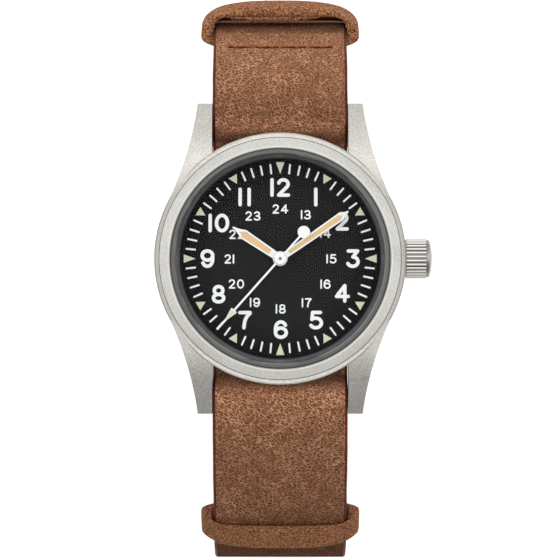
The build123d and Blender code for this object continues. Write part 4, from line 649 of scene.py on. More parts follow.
# radius of the base, radius of the point and half the width
QUARTER_TRIANGLE, USUAL_TRIANGLE = (14.57, 12.80, 0.64), (14.35, 13.04, 0.72)
for minute in range(60):
    angle = radians(6 * minute)
    out, across = (sin(angle), cos(angle)), (cos(angle), -sin(angle))
    if minute % 5:
        white.strip([(out[0] * r, out[1] * r) for r in (TICK_INNER + TICK_WIDTH / 2,
                                                        TICK_OUTER - TICK_WIDTH / 2)], TICK_WIDTH)
    else:
        base, apex, half = QUARTER_TRIANGLE if minute % 15 == 0 else USUAL_TRIANGLE
        corners = [(apex, 0), (base, half), (base, -half)]
        lume.plate([(out[0] * r + across[0] * s, out[1] * r + across[1] * s)
                    for r, s in corners], TRIANGLE_RISE)
add_piece("dial_print", white.points, white.faces, [print_white], "case",
          smooth=False)
add_piece("dial_triangles", lume.points, lume.faces, [print_lume], "case",
          smooth=False)


# Strap: routes are followed in (outward, up) from under the middle of the case

def beside(point, heading, distance):
    lean = radians(heading)
    return (point[0] - distance * sin(lean), point[1] + distance * cos(lean))


def step(point, heading, move):
    """Point and heading after a straight run (length, 0) or an arc (radius, turn)."""
    size, turn = move
    if turn == 0:
        lean = radians(heading)
        return (point[0] + size * cos(lean), point[1] + size * sin(lean)), heading
    reach = size if turn > 0 else -size
    centre = beside(point, heading, reach)
    return beside(centre, heading + turn, -reach), heading + turn


def walk(moves):
    """Point and heading at the end of a route from under the case."""
    point, heading = start, 0
    for move in moves:
        point, heading = step(point, heading, move)
    return point, heading


def trail(point, heading, moves, spacing):
    """Closely spaced (point, heading, distance) along a route."""
    found = [(point, heading, 0.0)]
    gone = 0.0
    for size, turn in moves:
        length = abs(radians(turn)) * size if turn else size
        count = max(1, ceil(length / spacing))
        for k in range(1, count + 1):
            part = (size, turn * k / count) if turn else (size * k / count, 0)
            place, lean = step(point, heading, part)
            found.append((place, lean, gone + length * k / count))
        gone += length
        point, heading = step(point, heading, (size, turn))
    return found


def stations(found, side, base, back=False):
    """Place (y, z), outward normal and distance at each point of a trail on one side of the case.

    The distances count on from base, or back from it with the points in the other order.
    """
    sign = -1 if back else 1
    line = [((side * along, up), side_frame(heading, side)[0], base + sign * gone)
            for (along, up), heading, gone in found]
    return line[::sign]


def placed(place, out, travel, x, up, along):
    """Point at (x, up, along) of a frame that stands on the strap in the side view."""
    return (x, place[0] + out[0] * up + travel[0] * along,
            place[1] + out[1] * up + travel[1] * along)


def side_frame(heading, side=1):
    """Outward and travel directions at a heading."""
    lean = radians(heading)
    return (-side * sin(lean), cos(lean)), (side * cos(lean), sin(lean))


# these are the sizes of the solids, in millimetres and degrees
BACK = 47.0
LEATHER, UNDER_LEATHER, FOLD_LEATHER, STRAP_WIDTH, LAYER_GAP = 1.6, 1.4, 0.9, 20.5, 0.15
BAR_REACH, BAR_UP, BAR_RADIUS, CLEAR = 21.2, 1.9, 0.75, 0.05
STRAP_END_LEVEL, BAR_SETBACK = 4.84, 3.0
UPPER_HEADINGS, UPPER_RADII = (-22.0, -60.0, -105.0), (BACK * 0.5, BACK * 0.5532)
LOWER_HEADINGS, LOWER_RADII = (-15.0, -50.0, -110.0), (BACK * 0.815, BACK * 0.468)
RISE_ANGLE, RISE_RADIUS = 60.0, 2.2
FLOOR_RUN, TAIL_RISE, TAIL_BEND, TAIL_GAP, CROSSBAR = 5.0, 12.0, 8.0, 0.1, 1.9
TAIL_WRAP, TIP_RADIUS = 24.9, 6.0

level = BACK - LAYER_GAP - LEATHER / 2
wrap_radius = BAR_RADIUS + CLEAR + LEATHER / 2
wrap_start = beside((BAR_REACH, BACK + BAR_UP), RISE_ANGLE, wrap_radius)
rise_up = wrap_start[1] - level
rise_bend = RISE_RADIUS * tan(radians(RISE_ANGLE / 2))
start = (0, level)


def over_bar(headings, radii):
    """Route from under the case up over the spring bar and down the side of the loop."""
    return [
        (wrap_start[0] - rise_up / tan(radians(RISE_ANGLE)) - rise_bend, 0),
        (RISE_RADIUS, RISE_ANGLE),
        (rise_up / sin(radians(RISE_ANGLE)) - rise_bend, 0),
        (wrap_radius, headings[0] - RISE_ANGLE),
        (radii[0], headings[1] - headings[0]),
        (radii[1], headings[2] - headings[1]),
    ]


upper_moves = over_bar(UPPER_HEADINGS, UPPER_RADII)
upper_low, upper_lean = walk(upper_moves)
end_radius = (upper_low[1] - STRAP_END_LEVEL) / (1 + cos(radians(upper_lean)))
upper_moves.append((end_radius, -180 - UPPER_HEADINGS[2]))
upper_end, _ = walk(upper_moves)
tail_centre = (upper_end[0], upper_end[1] + end_radius)
bar_place = upper_end[0] - BAR_SETBACK
bar_height = upper_end[1] - LEATHER / 2 + FOLD_LEATHER / 2 + BAR_RADIUS + CLEAR + FOLD_LEATHER / 2
lower_moves = over_bar(LOWER_HEADINGS, LOWER_RADII)
lower_place, lower_heading = walk(lower_moves)
floor_radius = (lower_place[1] - LEATHER / 2) / (1 + cos(radians(lower_heading)))
tail_level = CROSSBAR + TAIL_GAP + LEATHER / 2
bend_rise = TAIL_BEND * (1 - cos(radians(TAIL_RISE)))
tail_moves = lower_moves + [
    (floor_radius, -180 - LOWER_HEADINGS[2]),
    (FLOOR_RUN, 0),
    (TAIL_BEND, -TAIL_RISE),
    ((tail_level - LEATHER / 2 - 2 * bend_rise) / sin(radians(TAIL_RISE)), 0),
    (TAIL_BEND, TAIL_RISE),
]
tail_place, _ = walk(tail_moves)
tail_radius = tail_centre[1] - tail_level
tail_moves += [(tail_place[0] + tail_centre[0], 0),
               (tail_radius, -degrees(TAIL_WRAP / tail_radius))]

EDGE_CORNER, ACROSS, EDGE_BEND = 0.42, 22, 15
WAVE, WAVE_LENGTH = 0.05, 3.0
GROOVE_HALF, GROOVE_WIDTH, GROOVE_DEPTH, GROOVE_END = 8.3, 0.40, 0.22, 0.12
OUTER, EDGE, INNER = 0, 1, 2


def leather_section(half_width, thickness):
    """Closed outline (x, outward, kind) of a strip of leather with softened edges."""
    corner = min(EDGE_CORNER, thickness * 0.45, half_width * 0.5)
    flat, half = half_width - corner, thickness / 2

    def bend(side, up, angle, steps):
        leans = [radians(angle - EDGE_BEND * k) for k in steps]
        return [(side * flat + corner * cos(lean), up * (half - corner) + corner * sin(lean), EDGE)
                for lean in leans]

    across = [-flat + 2 * flat * k / ACROSS for k in range(ACROSS + 1)]
    back = [flat - 2 * flat * k / ACROSS for k in range(ACROSS + 1)]
    return ([(x, half, OUTER) for x in across]
            + bend(1, 1, 90, range(1, 6)) + bend(1, -1, 0, range(5))
            + [(x, -half, INNER) for x in back]
            + bend(-1, -1, -90, range(1, 6)) + bend(-1, 1, 180, range(5)))


def wavering(x, y, z, size, amount):
    """Small smooth unevenness of hand-cut leather, in millimetres."""
    return amount * noise.noise(Vector((x / size, y / size, z / size)))


def sweep(name, places, shape, groove=None):
    """Leather layer along stations; shape gives half width, thickness and outward shift."""
    points = []
    for (y, z), (ny, nz), gone in places:
        half_width, thickness, shift = shape(gone)
        section = leather_section(half_width, thickness)
        for x, out, kind in section:
            if kind == OUTER and groove:
                within = 1 / (1 + exp((abs(x) - GROOVE_HALF) / GROOVE_END))
                out -= GROOVE_DEPTH * within * exp(-((gone - groove) / GROOVE_WIDTH) ** 2)
            if kind == EDGE:
                x += (1 if x > 0 else -1) * wavering(x, y, z, WAVE_LENGTH, WAVE)
            out += shift
            points.append((x, y + ny * out, z + nz * out))
    rings = rows(len(section), len(places))
    kinds = face_kinds(section, EDGE)
    return add_piece(name, points, tube(rings),
                     [finishes["strap_leather"], edge_finish, lining_finish], "case",
                     kinds * (len(places) - 1) + [EDGE, EDGE])


# The strap begins with its fold: from the fold's end inside the loop, round the buckle's bar,
# then up to the case and down again to the tip.
FOLD_LEAN, FOLD_RETURN, SKIVE, FOLD_EXTRA = 15.0, 3.6, 2.2, 0.4
STITCH_HEADING, STITCH_SPAN = -54.0, 1.6
TRAIL_STEP, FOLD_STEP, STITCH_STEP, TIP_STEP = 0.6, 0.25, 0.1, 0.08
TIP_FINE, TIP_COARSE = 0.6, 0.35
outer_fold = BAR_RADIUS + CLEAR + FOLD_LEATHER - LEATHER / 2
fold_run = upper_end[0] - bar_place
fold = trail(upper_end, -180, [(fold_run, 0), (outer_fold, -180 - FOLD_LEAN), (FOLD_RETURN, 0)],
             FOLD_STEP)
fold_total = fold[-1][2]
fold_length = fold_total - fold_run + FOLD_EXTRA
to_buckle = trail(start, 0, upper_moves, TRAIL_STEP)
upper_total = to_buckle[-1][2]
stitch_centre, stitch_from = walk(upper_moves[:4])
stitch_gone = (trail(start, 0, upper_moves[:4], TRAIL_STEP)[-1][2]
               + radians(abs(STITCH_HEADING - stitch_from)) * UPPER_RADII[0])
# closer stations where the stitches sink in, and towards the very tip
to_buckle = sorted(
    [f for f in to_buckle if abs(f[2] - stitch_gone) > STITCH_SPAN]
    + [f for f in trail(start, 0, upper_moves, STITCH_STEP) if abs(f[2] - stitch_gone)
       <= STITCH_SPAN], key=lambda f: f[2])
down = trail(start, 0, tail_moves, TRAIL_STEP)
down_total = down[-1][2]
tip_start = down_total - TIP_RADIUS
tip = []
for f in trail(start, 0, tail_moves, TIP_STEP):
    if f[2] >= tip_start and (not tip or down_total - f[2] < TIP_FINE
                              or abs(tip[-1][2] - f[2]) > TIP_COARSE):
        tip.append(f)
down = [f for f in down if f[2] < tip_start] + tip
case_gone = fold_total + upper_total
whole = (stations(fold[1:], 1, fold_total, back=True)
         + stations(to_buckle, 1, case_gone, back=True) + stations(down[1:], -1, case_gone))


def strap_shape(gone):
    """Full strap, thinned at the buckle fold and rounded at the tip."""
    half, thickness = STRAP_WIDTH / 2, LEATHER
    if gone < fold_length:
        thickness = FOLD_LEATHER
    elif gone < fold_length + SKIVE:
        share = (gone - fold_length) / SKIVE
        thickness = FOLD_LEATHER + (LEATHER - FOLD_LEATHER) * share * share * (3 - 2 * share)
    left = case_gone + down_total - gone
    if left < TIP_RADIUS:
        half = half - TIP_RADIUS + sqrt(max(0.0, TIP_RADIUS ** 2 - (TIP_RADIUS - left) ** 2))
    return half, thickness, (LEATHER - thickness) / 2


strap = sweep("strap", whole, strap_shape, groove=case_gone - stitch_gone)

CUT_SHARP = 50


def drill(piece, cutters):
    """Cuts closed shapes out of a piece; the cut faces show the leather's edge."""
    points, faces = [], []
    for shape_points, shape_faces in cutters:
        faces += [[len(points) + k for k in face] for face in shape_faces]
        points += shape_points
    mesh = bpy.data.meshes.new("cutter")
    mesh.from_pydata([tuple(c * MM for c in p) for p in points], [], faces)
    for material in piece.data.materials:
        mesh.materials.append(material)
    for polygon in mesh.polygons:
        polygon.material_index = EDGE
    tidy_normals(mesh)
    cutter = shown("cutter", mesh)
    cut = piece.modifiers.new("cut", "BOOLEAN")
    cut.operation = "DIFFERENCE"
    cut.solver = "EXACT"
    cut.object = cutter
    bpy.context.view_layer.update()
    cut_piece = piece.evaluated_get(bpy.context.evaluated_depsgraph_get())
    result = bpy.data.meshes.new_from_object(cut_piece)
    piece.modifiers.clear()
    old, piece.data = piece.data, result
    result.name = piece.name
    bpy.data.meshes.remove(old)
    bpy.data.objects.remove(cutter)
    bpy.data.meshes.remove(mesh)
    result.set_sharp_from_angle(angle=radians(CUT_SHARP))


def post(outline, centre, out, low, high):
    """Closed prism: an outline of (x, along) pairs, standing along a direction in the side view."""
    along = (out[1], -out[0])
    ends = [placed(centre, out, along, x, reach, t) for reach in (low, high) for x, t in outline]
    return ends, tube(rows(len(outline), 2))


HOLE_RADIUS, HOLE_PITCH, HOLES_EACH_WAY, HOLE_SIDES = 0.9, 6.5, 3, 24
SLOT_SETBACK, SLOT_LENGTH, SLOT_WIDTH, SLOT_SIDES = 1.45, 3.5, 2.4, 10
NOTCH_PAST_BAR = 1.3
# how far a cut reaches inwards and outwards from the middle of the leather
CUT, LONG_CUT = (-1.0, 1.0), (-1.5, 2.4)
UP, DOWN = (0, 1), (0, -1)
half_slot, slot_straight = SLOT_WIDTH / 2, (SLOT_LENGTH - SLOT_WIDTH) / 2
tongue_slot = []
for straight, first_angle in ((slot_straight, 0), (-slot_straight, pi)):
    for k in range(SLOT_SIDES + 1):
        x, y = on_circle(half_slot, first_angle + pi * k / SLOT_SIDES)
        tongue_slot.append((x, straight + y))
slot_middle = bar_place - SLOT_SETBACK
round_hole = [on_circle(HOLE_RADIUS, 2 * pi * k / HOLE_SIDES) for k in range(HOLE_SIDES)]
notch = BAR_RADIUS + NOTCH_PAST_BAR
notch_box = [(half_slot, notch), (half_slot, -notch), (-half_slot, -notch), (-half_slot, notch)]
cutters = [
    post(tongue_slot, (slot_middle, tail_level), DOWN, *CUT),
    post(notch_box, (bar_place, 0), UP, tail_level + LEATHER / 2 + TAIL_GAP, bar_height + notch),
]
for k in range(1, HOLES_EACH_WAY + 1):
    cutters.append(post(round_hole, (slot_middle - k * HOLE_PITCH, tail_level), DOWN, *LONG_CUT))
    turn = (slot_middle + k * HOLE_PITCH - tail_centre[0]) / tail_radius
    out = (sin(turn), -cos(turn))
    cutters.append(post(round_hole, (tail_centre[0] + tail_radius * out[0],
                                     tail_centre[1] + tail_radius * out[1]), out, *CUT))
drill(strap, cutters)
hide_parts("main_strap")


# Under strap

SEAM_HEADING, SEAM_OVERLAP = -53.0, 1.4
UNDER_BEND, UNDER_FOLD, UNDER_REACH, UNDER_RETURN = -38.0, 1.5, 2.0, 6.0
UPPER_UNDER_STEP, LOWER_UNDER_STEP = 0.7, 0.5
LOWER_RING_HEADING, UPPER_RING_HEADING = -54.0, -72.0
LOWER_LENGTH, UPPER_LENGTH = 5.4, 5.0
under_level = level - LEATHER / 2 - LAYER_GAP - UNDER_LEATHER / 2
layer_step = (LEATHER + UNDER_LEATHER) / 2


def under_route(moves, first_heading, radius, heading):
    """Straight run and bend from under the case on to an arc inside the strap's own."""
    centre = beside(walk(moves[:4])[0], first_heading, -radius)
    radius -= layer_step
    lean = radians(heading)
    bend = (under_level - centre[1] - radius * cos(lean)) / (1 - cos(lean))
    return [(centre[0] - (radius - bend) * sin(lean), 0), (bend, heading)]


seam_radius = UPPER_RADII[1] - layer_step
upper_under = under_route(upper_moves, UPPER_HEADINGS[0], UPPER_RADII[0], SEAM_HEADING) + [
    (UPPER_RADII[0] - layer_step, UPPER_HEADINGS[1] - SEAM_HEADING),
    (seam_radius, -degrees(SEAM_OVERLAP / seam_radius)),
]
half_turn = degrees((LOWER_LENGTH / 2 + UNDER_REACH) / LOWER_RADII[1])
fold_turn = LOWER_RING_HEADING - half_turn - LOWER_HEADINGS[1]
lower_under = under_route(lower_moves, LOWER_HEADINGS[0], LOWER_RADII[0], UNDER_BEND) + [
    (LOWER_RADII[0] - layer_step, LOWER_HEADINGS[1] - UNDER_BEND),
    (LOWER_RADII[1] - layer_step, fold_turn),
    (UNDER_FOLD, -180),
    (LOWER_RADII[1] - layer_step - 2 * UNDER_FOLD, -fold_turn),
    (LOWER_RADII[0] - layer_step - 2 * UNDER_FOLD, UNDER_RETURN),
]
under_start = (0, under_level)
first = trail(under_start, 0, upper_under, UPPER_UNDER_STEP)
second = trail(under_start, 0, lower_under, LOWER_UNDER_STEP)
layers = (stations(first, 1, first[-1][2], back=True)
          + stations(second[1:], -1, first[-1][2]))
under = sweep("lower_layer", layers, lambda gone: (STRAP_WIDTH / 2, UNDER_LEATHER, 0.0))
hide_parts("under_strap")


# Rolled rings

RING_WIDTH, RING_SIDE, RING_INNER, RING_CORNER = 24.5, 1.93, 1.2, 3.3
LOWER_GAP, LOWER_WALL, UPPER_GAP, UPPER_WALL, UPPER_HANG = 3.4, 1.3, 4.4, 1.6, 0.9
REST_GAP, LOWER_RING_DROP = 0.1, 0.55
ROUNDNESS, UNDER_ROUNDNESS = 2.8, 2.3
CORNER_STEPS, LEVEL_STEPS, UPRIGHT_STEPS = 9, 24, 10
RING_WAVE, RING_WAVE_LENGTH = 0.05, 2.2
TAPER_START, TAPER_SPAN, CUP_POWER = 0.46, 0.90, 5
OUTSIDE, BORE = 0, 1


def rounded_box(width, height, corner, middle):
    """Closed path round a box with soft corners, with the same number of points for every size."""
    flat_x, flat_y = width / 2 - corner, height / 2 - corner
    signs = ((1, 1), (-1, 1), (-1, -1), (1, -1))

    def on_corner(sx, sy, angle):
        x, y = on_circle(corner, radians(angle))
        return sx * flat_x + x, middle + sy * flat_y + y

    line = []
    for number, sign in enumerate(signs):
        turn = 90 * number
        line += [on_corner(*sign, turn + 90 * k / CORNER_STEPS) for k in range(CORNER_STEPS + 1)]
        a, b = line[-1], on_corner(*signs[(number + 1) % 4], turn + 90)
        count = UPRIGHT_STEPS if number % 2 else LEVEL_STEPS
        line += [(a[0] + (b[0] - a[0]) * k / count, a[1] + (b[1] - a[1]) * k / count)
                 for k in range(1, count)]
    return line


def arched(x, y, level_line, arch):
    """The point of a round-shouldered arch in the direction of a point of its box."""
    lean = atan2((y - level_line) / arch, 2 * x / RING_WIDTH)
    power = ROUNDNESS if lean > 0 else UNDER_ROUNDNESS
    reach = (abs(cos(lean)) ** power + abs(sin(lean)) ** power) ** (-1 / power)
    return RING_WIDTH / 2 * reach * cos(lean), level_line + arch * reach * sin(lean)


def wall_section(wall, half, corner):
    """Closed outline (depth, along, kind) of a ring's wall, its four corners rounded."""
    flat = half - corner
    bends = [radians(90 * k / 4) for k in range(5)]
    return (
        [(0.0, -half + corner + 2 * flat * k / 8, OUTSIDE) for k in range(9)]
        + [(corner * (1 - cos(b)), half - corner + corner * sin(b), OUTSIDE) for b in bends[1:]]
        + [(wall / 2, half, OUTSIDE)]
        + [(wall - corner + corner * sin(b), half - corner + corner * cos(b), OUTSIDE)
           for b in bends[:4]]
        + [(wall, half - corner - 2 * flat * k / 6, BORE) for k in range(7)]
        + [(wall - corner + corner * cos(b), -half + corner - corner * sin(b), OUTSIDE)
           for b in bends[1:]]
        + [(wall / 2, -half, OUTSIDE)]
        + [(corner - corner * sin(b), -half + corner - corner * cos(b), OUTSIDE)
           for b in bends[:4]])


def ring(name, node, place, heading, side, middle, gap, walls, length, soft, bore_corner, arch,
         bulge=0.0, cup=0.0, taper=0.0):
    """Leather ring round the strap, its walls rounded at their rims and its outer side arched.

    bulge lifts the middle of the bore, cup draws the arch's shoulders back along the strap, and
    taper thins the bore's rim towards the case.
    """
    outer_wall, inner_wall = walls
    height = gap + outer_wall + inner_wall
    centre = middle + (outer_wall - inner_wall) / 2
    level_line = centre + height / 2 - arch
    box = rounded_box(RING_WIDTH, height, min(RING_CORNER, height * 0.48), centre)
    outer = [arched(x, y, level_line, arch if y > level_line else height - arch) for x, y in box]
    bore_half = RING_WIDTH / 2 - RING_SIDE

    def upper_share(y):
        """From 0 at the middle of the bore to 1 at its top."""
        return held((y - middle) / (gap / 2))

    inner = [(x, y + bulge * (1 - (x / bore_half) ** 2) * upper_share(y))
             for x, y in rounded_box(2 * bore_half, gap, bore_corner, middle)]
    out, travel = side_frame(heading, side)
    points = []
    for (px, py), (qx, qy) in zip(outer, inner):
        wall = hypot(qx - px, qy - py)
        section = wall_section(wall, length / 2, min(soft, wall * 0.45))
        for depth, along, _ in section:
            share = depth / wall
            x = px + (qx - px) * share
            y = py + (qy - py) * share
            push = abs(wavering(x, y, along, RING_WAVE_LENGTH, RING_WAVE) * (1 - share))
            spread = hypot(x, y - centre) or 1.0
            x -= x / spread * push
            y -= (y - centre) / spread * push
            reach = held((along + TAPER_START * length) / (TAPER_SPAN * length))
            y -= taper * share * reach * upper_share(y)
            along -= cup * abs(2 * x / RING_WIDTH) ** CUP_POWER * upper_share(y)
            points.append(placed((place[0] * side, place[1]), out, travel, x, y, along))
    rings = rows(len(section), len(outer))
    kinds = face_kinds(section, OUTSIDE)
    made = add_piece(name, points, quads(rings + rings[:1]),
                     [finishes["ring_leather"], shaded_lining_finish], "case",
                     kinds * len(outer))
    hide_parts(node)


def ring_place(moves, headings, radii, heading):
    """Place on the strap's second arc where it has a heading."""
    place, _ = walk(moves[:5])
    return step(place, headings[1], (radii[1], heading - headings[1]))[0]


upper_place = ring_place(upper_moves, UPPER_HEADINGS, UPPER_RADII, UPPER_RING_HEADING)
ring("ring_upper", "upper_ring", upper_place, UPPER_RING_HEADING, 1,
     middle=UPPER_GAP / 2 - LEATHER / 2 - UPPER_HANG, gap=UPPER_GAP,
     walls=(UPPER_WALL, RING_INNER), length=UPPER_LENGTH, soft=0.58, bore_corner=2.1, arch=4.9,
     taper=1.75)
# the ragged lap of the seam inside the upper ring's arch
LAP_MIDDLE, LAP_HALF, LAP_DEPTH, LAP_EDGE, LAP_SINK = -1.2, 7.4, 0.74, 0.04, -0.12
LAP_STEPS = 48
# share of the depth and place along the strap; None is sunk into the ring
LAP_SECTION = ((None, -2.05), (0.6, -2.12), (1.0, -1.85), (0.9, -1.45), (None, -0.9))
arch_inside = UPPER_GAP - LEATHER / 2 - UPPER_HANG
out, travel = side_frame(UPPER_RING_HEADING)
points = []
for k in range(LAP_STEPS + 1):
    across = 2 * k / LAP_STEPS - 1
    x = LAP_MIDDLE + LAP_HALF * across
    ragged = (1 + 0.55 * noise.noise(Vector((x * 1.7, 0.3, 4.0)))
              + 0.3 * noise.noise(Vector((x * 4.1, 2.0, 1.0))))
    depth = LAP_EDGE + LAP_DEPTH * (1 - across ** 4) ** 0.8 * ragged
    for share, along in LAP_SECTION:
        below = LAP_SINK if share is None else depth * share
        points.append(placed(upper_place, out, travel, x, arch_inside - below, along))
rings = rows(len(LAP_SECTION), LAP_STEPS + 1)
add_piece("ring_seam_lap", points, tube(rings), [finishes["ring_leather"]], "case")

lower_out, lower_travel = side_frame(LOWER_RING_HEADING)
_, *lower_ring_place = placed(
    ring_place(lower_moves, LOWER_HEADINGS, LOWER_RADII, LOWER_RING_HEADING),
    lower_out, lower_travel, 0, 0, -LOWER_RING_DROP)
ring("ring_lower", "lower_ring", lower_ring_place, LOWER_RING_HEADING, -1,
     middle=LEATHER / 2 + REST_GAP - LOWER_GAP / 2, gap=LOWER_GAP,
     walls=(LOWER_WALL, RING_INNER), length=LOWER_LENGTH, soft=0.58, bore_corner=0.9, arch=4.2,
     bulge=0.1, cup=1.3)
KEEPER_ANGLE, KEEPER_WALL, KEEPER_LENGTH, KEEPER_SLACK = 14.0, 1.3, 4.2, 0.2
keeper_radius = (tail_radius + end_radius) / 2
keeper_place = (tail_centre[0] + keeper_radius * sin(radians(KEEPER_ANGLE)),
                tail_centre[1] - keeper_radius * cos(radians(KEEPER_ANGLE)))
ring("keeper", "buckle_keeper", keeper_place, KEEPER_ANGLE - 180, 1,
     middle=0, gap=tail_radius - end_radius + LEATHER + 2 * KEEPER_SLACK,
     walls=(KEEPER_WALL, KEEPER_WALL), length=KEEPER_LENGTH, soft=0.5, bore_corner=0.5, arch=3.0)


# Stitches: two twisted strands each, dipping into the leather at both ends, a dark strand under
# them as a painted shadow line, and their frayed ends

TUBE_SIDES, TUBE_TAPER = 8, 3
STITCH_LENGTH, STITCH_GAP, STITCH_COUNT, STITCH_STEPS = 3.42, 0.72, 4, 40
STITCH_TURNS, STITCH_LIFT, STITCH_SWING, STITCH_SWAY = 1.9, 0.10, 0.10, 0.15
DIP, DIP_REACH, SAG, SLANT, UNEVEN = 0.36, 0.40, 0.20, 0.10, 0.07
STRAND, SHADOW_STRAND, SHADOW_STRAND_BACK = 0.22, 0.14, 0.34
# the dark third strand is a painted shadow line under each stitch
# phase of the twist, distance back, radius and material
STRANDS = ((0.0, 0.0, STRAND, 0), (pi, 0.0, STRAND, 0), (0.6, SHADOW_STRAND_BACK, SHADOW_STRAND, 1))
WISPS, WISP_STEPS, WISP_RADIUS, WISP_LENGTH = 3, 6, 0.06, 0.28

stitch_place, _ = step(stitch_centre, stitch_from,
                       (UPPER_RADII[0], STITCH_HEADING - stitch_from))
out, travel = side_frame(STITCH_HEADING)
points, faces, kinds = [], [], []


def lay(path, radius, kind):
    """Adds a round strand with thinned ends, along (x, up, along) points at the stitches."""
    path = [Vector(placed(stitch_place, out, travel, *p)) for p in path]
    last = len(path) - 1
    rings = rows(TUBE_SIDES, len(path), len(points))
    for k, p in enumerate(path):
        ahead = (path[min(last, k + 1)] - path[max(0, k - 1)]).normalized()
        across = ahead.cross(Vector((0, 0.3, 1))).normalized()
        upward = across.cross(ahead)
        thin = radius * min(1.0, 0.55 + 0.45 * min(k, last - k) / TUBE_TAPER)
        for s in range(TUBE_SIDES):
            a = 2 * pi * s / TUBE_SIDES
            points.append(tuple(p + across * cos(a) * thin + upward * sin(a) * thin))
    made = tube(rings)
    faces.extend(made)
    kinds.extend([kind] * len(made))


for count in range(STITCH_COUNT):
    middle = (count - (STITCH_COUNT - 1) / 2) * (STITCH_LENGTH + STITCH_GAP)
    slant = SLANT * noise.noise(Vector((count * 2.3, 5.0, 1.0)))
    for phase, back, thick, kind in STRANDS:
        path = []
        for k in range(STITCH_STEPS + 1):
            share = k / STITCH_STEPS
            x = middle + (share - 0.5) * STITCH_LENGTH
            twist = 2 * pi * (STITCH_TURNS * share) + phase + count
            end = min(share, 1 - share) * STITCH_LENGTH
            dip = DIP * max(0.0, 1 - end / DIP_REACH) ** 2
            up = LEATHER / 2 + STITCH_LIFT - dip + STITCH_SWING * sin(twist) - 0.3 * back
            sag = SAG * (1 - (2 * share - 1) ** 2) - SAG / 2 + slant * (2 * share - 1)
            along = STITCH_SWAY * cos(twist) * (1 - kind) - back - sag
            along += UNEVEN * noise.noise(Vector((x * 1.9, kind, 3.0)))
            path.append((x, up, along))
        lay(path, thick, kind)
    for end in (-1, 1):
        for wisp in range(WISPS):
            root = middle + end * (STITCH_LENGTH / 2 - 0.15)
            turn = 2.1 * wisp + count + end
            shares = [k / WISP_STEPS for k in range(WISP_STEPS + 1)]
            lay([(root + end * WISP_LENGTH * share + 0.10 * cos(turn) * share ** 2,
                  LEATHER / 2 - 0.05 + 0.10 * share, -0.10 + 0.30 * share * sin(turn))
                 for share in shares], WISP_RADIUS, wisp % 2)
stitches = add_piece("stitches", points, faces, [finishes["thread"], shadow_and_dark_fibre_finish], "case",
                     kinds)
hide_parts("stitching")


# Fine turned trim

TRIM_SHARP = 35


def turned(name, outline, material, body, slot, closed=True, segments=128):
    """Solid turned about the hand axis; outline is a run of (radius, height), closed or capped."""
    points, faces = [], []
    for k in range(segments):
        points += [(*on_circle(r, 2 * pi * k / segments), z) for r, z in outline]
    count = len(outline)
    rings = rows(count, segments)
    for one, after in zip(rings, rings[1:] + rings[:1]):
        for j in range(count if closed else count - 1):
            m = (j + 1) % count
            faces.append([one[j], after[j], after[m], one[m]])
    if not closed:
        faces += [[one[0] for one in rings][::-1], [one[-1] for one in rings]]
    add_piece(name, points, faces, [material], body, sharp=TRIM_SHARP)


# outlines as (radius, height) over the foot of the bezel and over the top of the hub
JOINT = ((18.17, -0.02), (18.30, -0.02), (18.30, 0.012), (18.17, 0.012))
HUB_RIM = ((0.83, -0.10), (0.93, -0.10), (0.93, -0.03), (0.90, -0.01), (0.83, -0.01))
HUB_PIN = ((0.24, -0.05), (0.24, 0.03), (0.20, 0.05), (0.10, 0.05), (0.07, 0.09), (0.03, 0.10))
joint_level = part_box("bezel")[0][2] / MM
turned("bezel_joint", [(r, joint_level + z) for r, z in JOINT], finishes["rubber"], "case",
       "rubber")
hub_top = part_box("seconds_hand")[1][2] / MM
turned("hub_rim", [(r, hub_top + z) for r, z in HUB_RIM], finishes["bright_steel"],
       "seconds_hand", "hand_white", segments=64)
turned("hub_pin", [(r, hub_top + z) for r, z in HUB_PIN], finishes["pin_steel"], "seconds_hand",
       "bright_steel", closed=False, segments=32)


# Lume of the two leaf hands

LUME_FRAME, LUME_SHOULDER, POINT_STEPS, POINT_HOLLOW = 0.225, 0.1, 8, 1.35
# height against the hand's top, and how far the edge is drawn in
LUME_LAYERS = ((-0.15, 0.0), (0.01, 0.0), (0.035, 0.05))


def lume_leaf(name, node, body, hub_width, shoulder_width, shoulder, point, start, angle, top):
    """Lume laid in a leaf hand: its blade's shape less a thin frame, to a hollow-sided point."""
    grow = (shoulder_width - hub_width) / shoulder

    def half(r):
        return (hub_width + grow * r) / 2 - LUME_FRAME

    bend = shoulder - LUME_SHOULDER
    side = [(start, half(start)), (bend, half(bend))]
    side += [(bend + (point - bend) * k / POINT_STEPS,
              half(shoulder) * (1 - k / POINT_STEPS) ** POINT_HOLLOW)
             for k in range(1, POINT_STEPS)]
    outline = [(h, r) for r, h in side] + [(0.0, point)] + [(-h, r) for r, h in side[::-1]]
    lean = radians(angle)
    out, across = (sin(lean), cos(lean)), (cos(lean), -sin(lean))
    points = []
    for rise, inset in LUME_LAYERS:
        for h, r in outline:
            sign = 1 if h > 0 else -1 if h < 0 else 0
            h -= inset * sign * min(1.0, abs(h) / 0.2)
            points.append((across[0] * h + out[0] * r, across[1] * h + out[1] * r, top + rise))
    rings = rows(len(outline), len(LUME_LAYERS))
    made = add_piece(name, points, tube(rings), [finishes["lume_tan"]], body,
                     smooth=False)
    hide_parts(node)


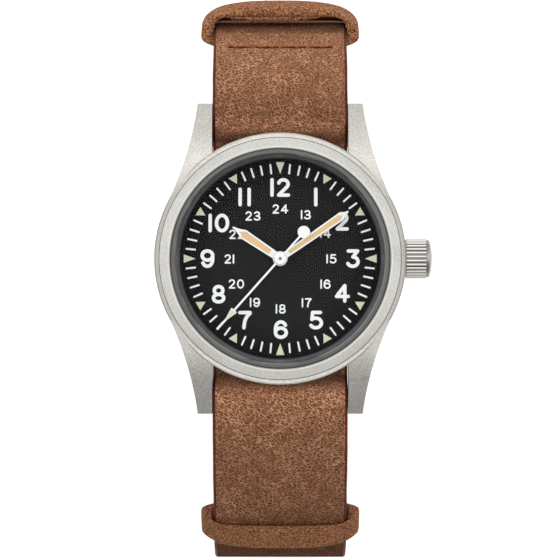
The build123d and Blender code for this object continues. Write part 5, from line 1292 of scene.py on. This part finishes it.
lume_leaf("hour_lume", "hour_hand_lume", "hour_hand", hub_width=1.13, shoulder_width=1.5,
          shoulder=6.7, point=7.4, start=1.8, angle=303.6, top=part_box("hour_hand")[1][2] / MM)
lume_leaf("minute_lume", "minute_hand_lume", "minute_hand", hub_width=0.95, shoulder_width=1.25,
          shoulder=10.95, point=11.5, start=1.75, angle=55.3,
          top=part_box("minute_hand")[1][2] / MM)


# Room: pale floor and soft lights

FLOOR_HALF, FLOOR_LEVEL = 3, -0.0001
floor_shader = Shader("floor_white")
floor_tone = floor_shader.ramp(floor_shader.noise(3.0, 2.0), (0.3, (0.90, 0.90, 0.90)),
                               (0.7, (0.93, 0.93, 0.93)))
floor_material = floor_shader.principled(
    floor_tone, 0.9, **{"Emission Color": (1.0, 1.0, 1.0), "Emission Strength": 0.45})
floor_mesh = bpy.data.meshes.new("floor")
floor_mesh.from_pydata([(FLOOR_HALF * x, FLOOR_HALF * y, FLOOR_LEVEL)
                        for x, y in ((-1, -1), (1, -1), (1, 1), (-1, 1))], [], [(0, 1, 2, 3)])
floor_mesh.materials.append(floor_material)
floor = shown("floor", floor_mesh)

LIGHT_TARGET = Vector((0, 0, 0.045))


def softbox(name, place, size, power):
    """Rectangular light aimed at the watch; place and size in metres, power in watts."""
    data = bpy.data.lights.new(name, "AREA")
    data.shape = "RECTANGLE"
    data.size, data.size_y = size
    data.energy = power
    made = shown(name, data)
    made.location = place
    made.rotation_mode = "QUATERNION"
    made.rotation_quaternion = (LIGHT_TARGET - Vector(place)).to_track_quat("-Z", "Y")


softbox("key", (-0.12, 0.70, 0.74), (2.3, 1.3), 6.5)
softbox("overhead", (0.0, 0.08, 0.98), (0.9, 0.8), 3.0)
softbox("left", (-0.75, 0.05, 0.55), (0.7, 1.1), 0.6)
softbox("right", (0.75, 0.0, 0.55), (0.7, 1.1), 1.1)

world = bpy.data.worlds.new("room")
world.use_nodes = True
background = world.node_tree.nodes["Background"]
background.inputs["Color"].default_value = (1.0, 1.0, 1.0, 1.0)
background.inputs["Strength"].default_value = 0.50
bpy.context.scene.world = world
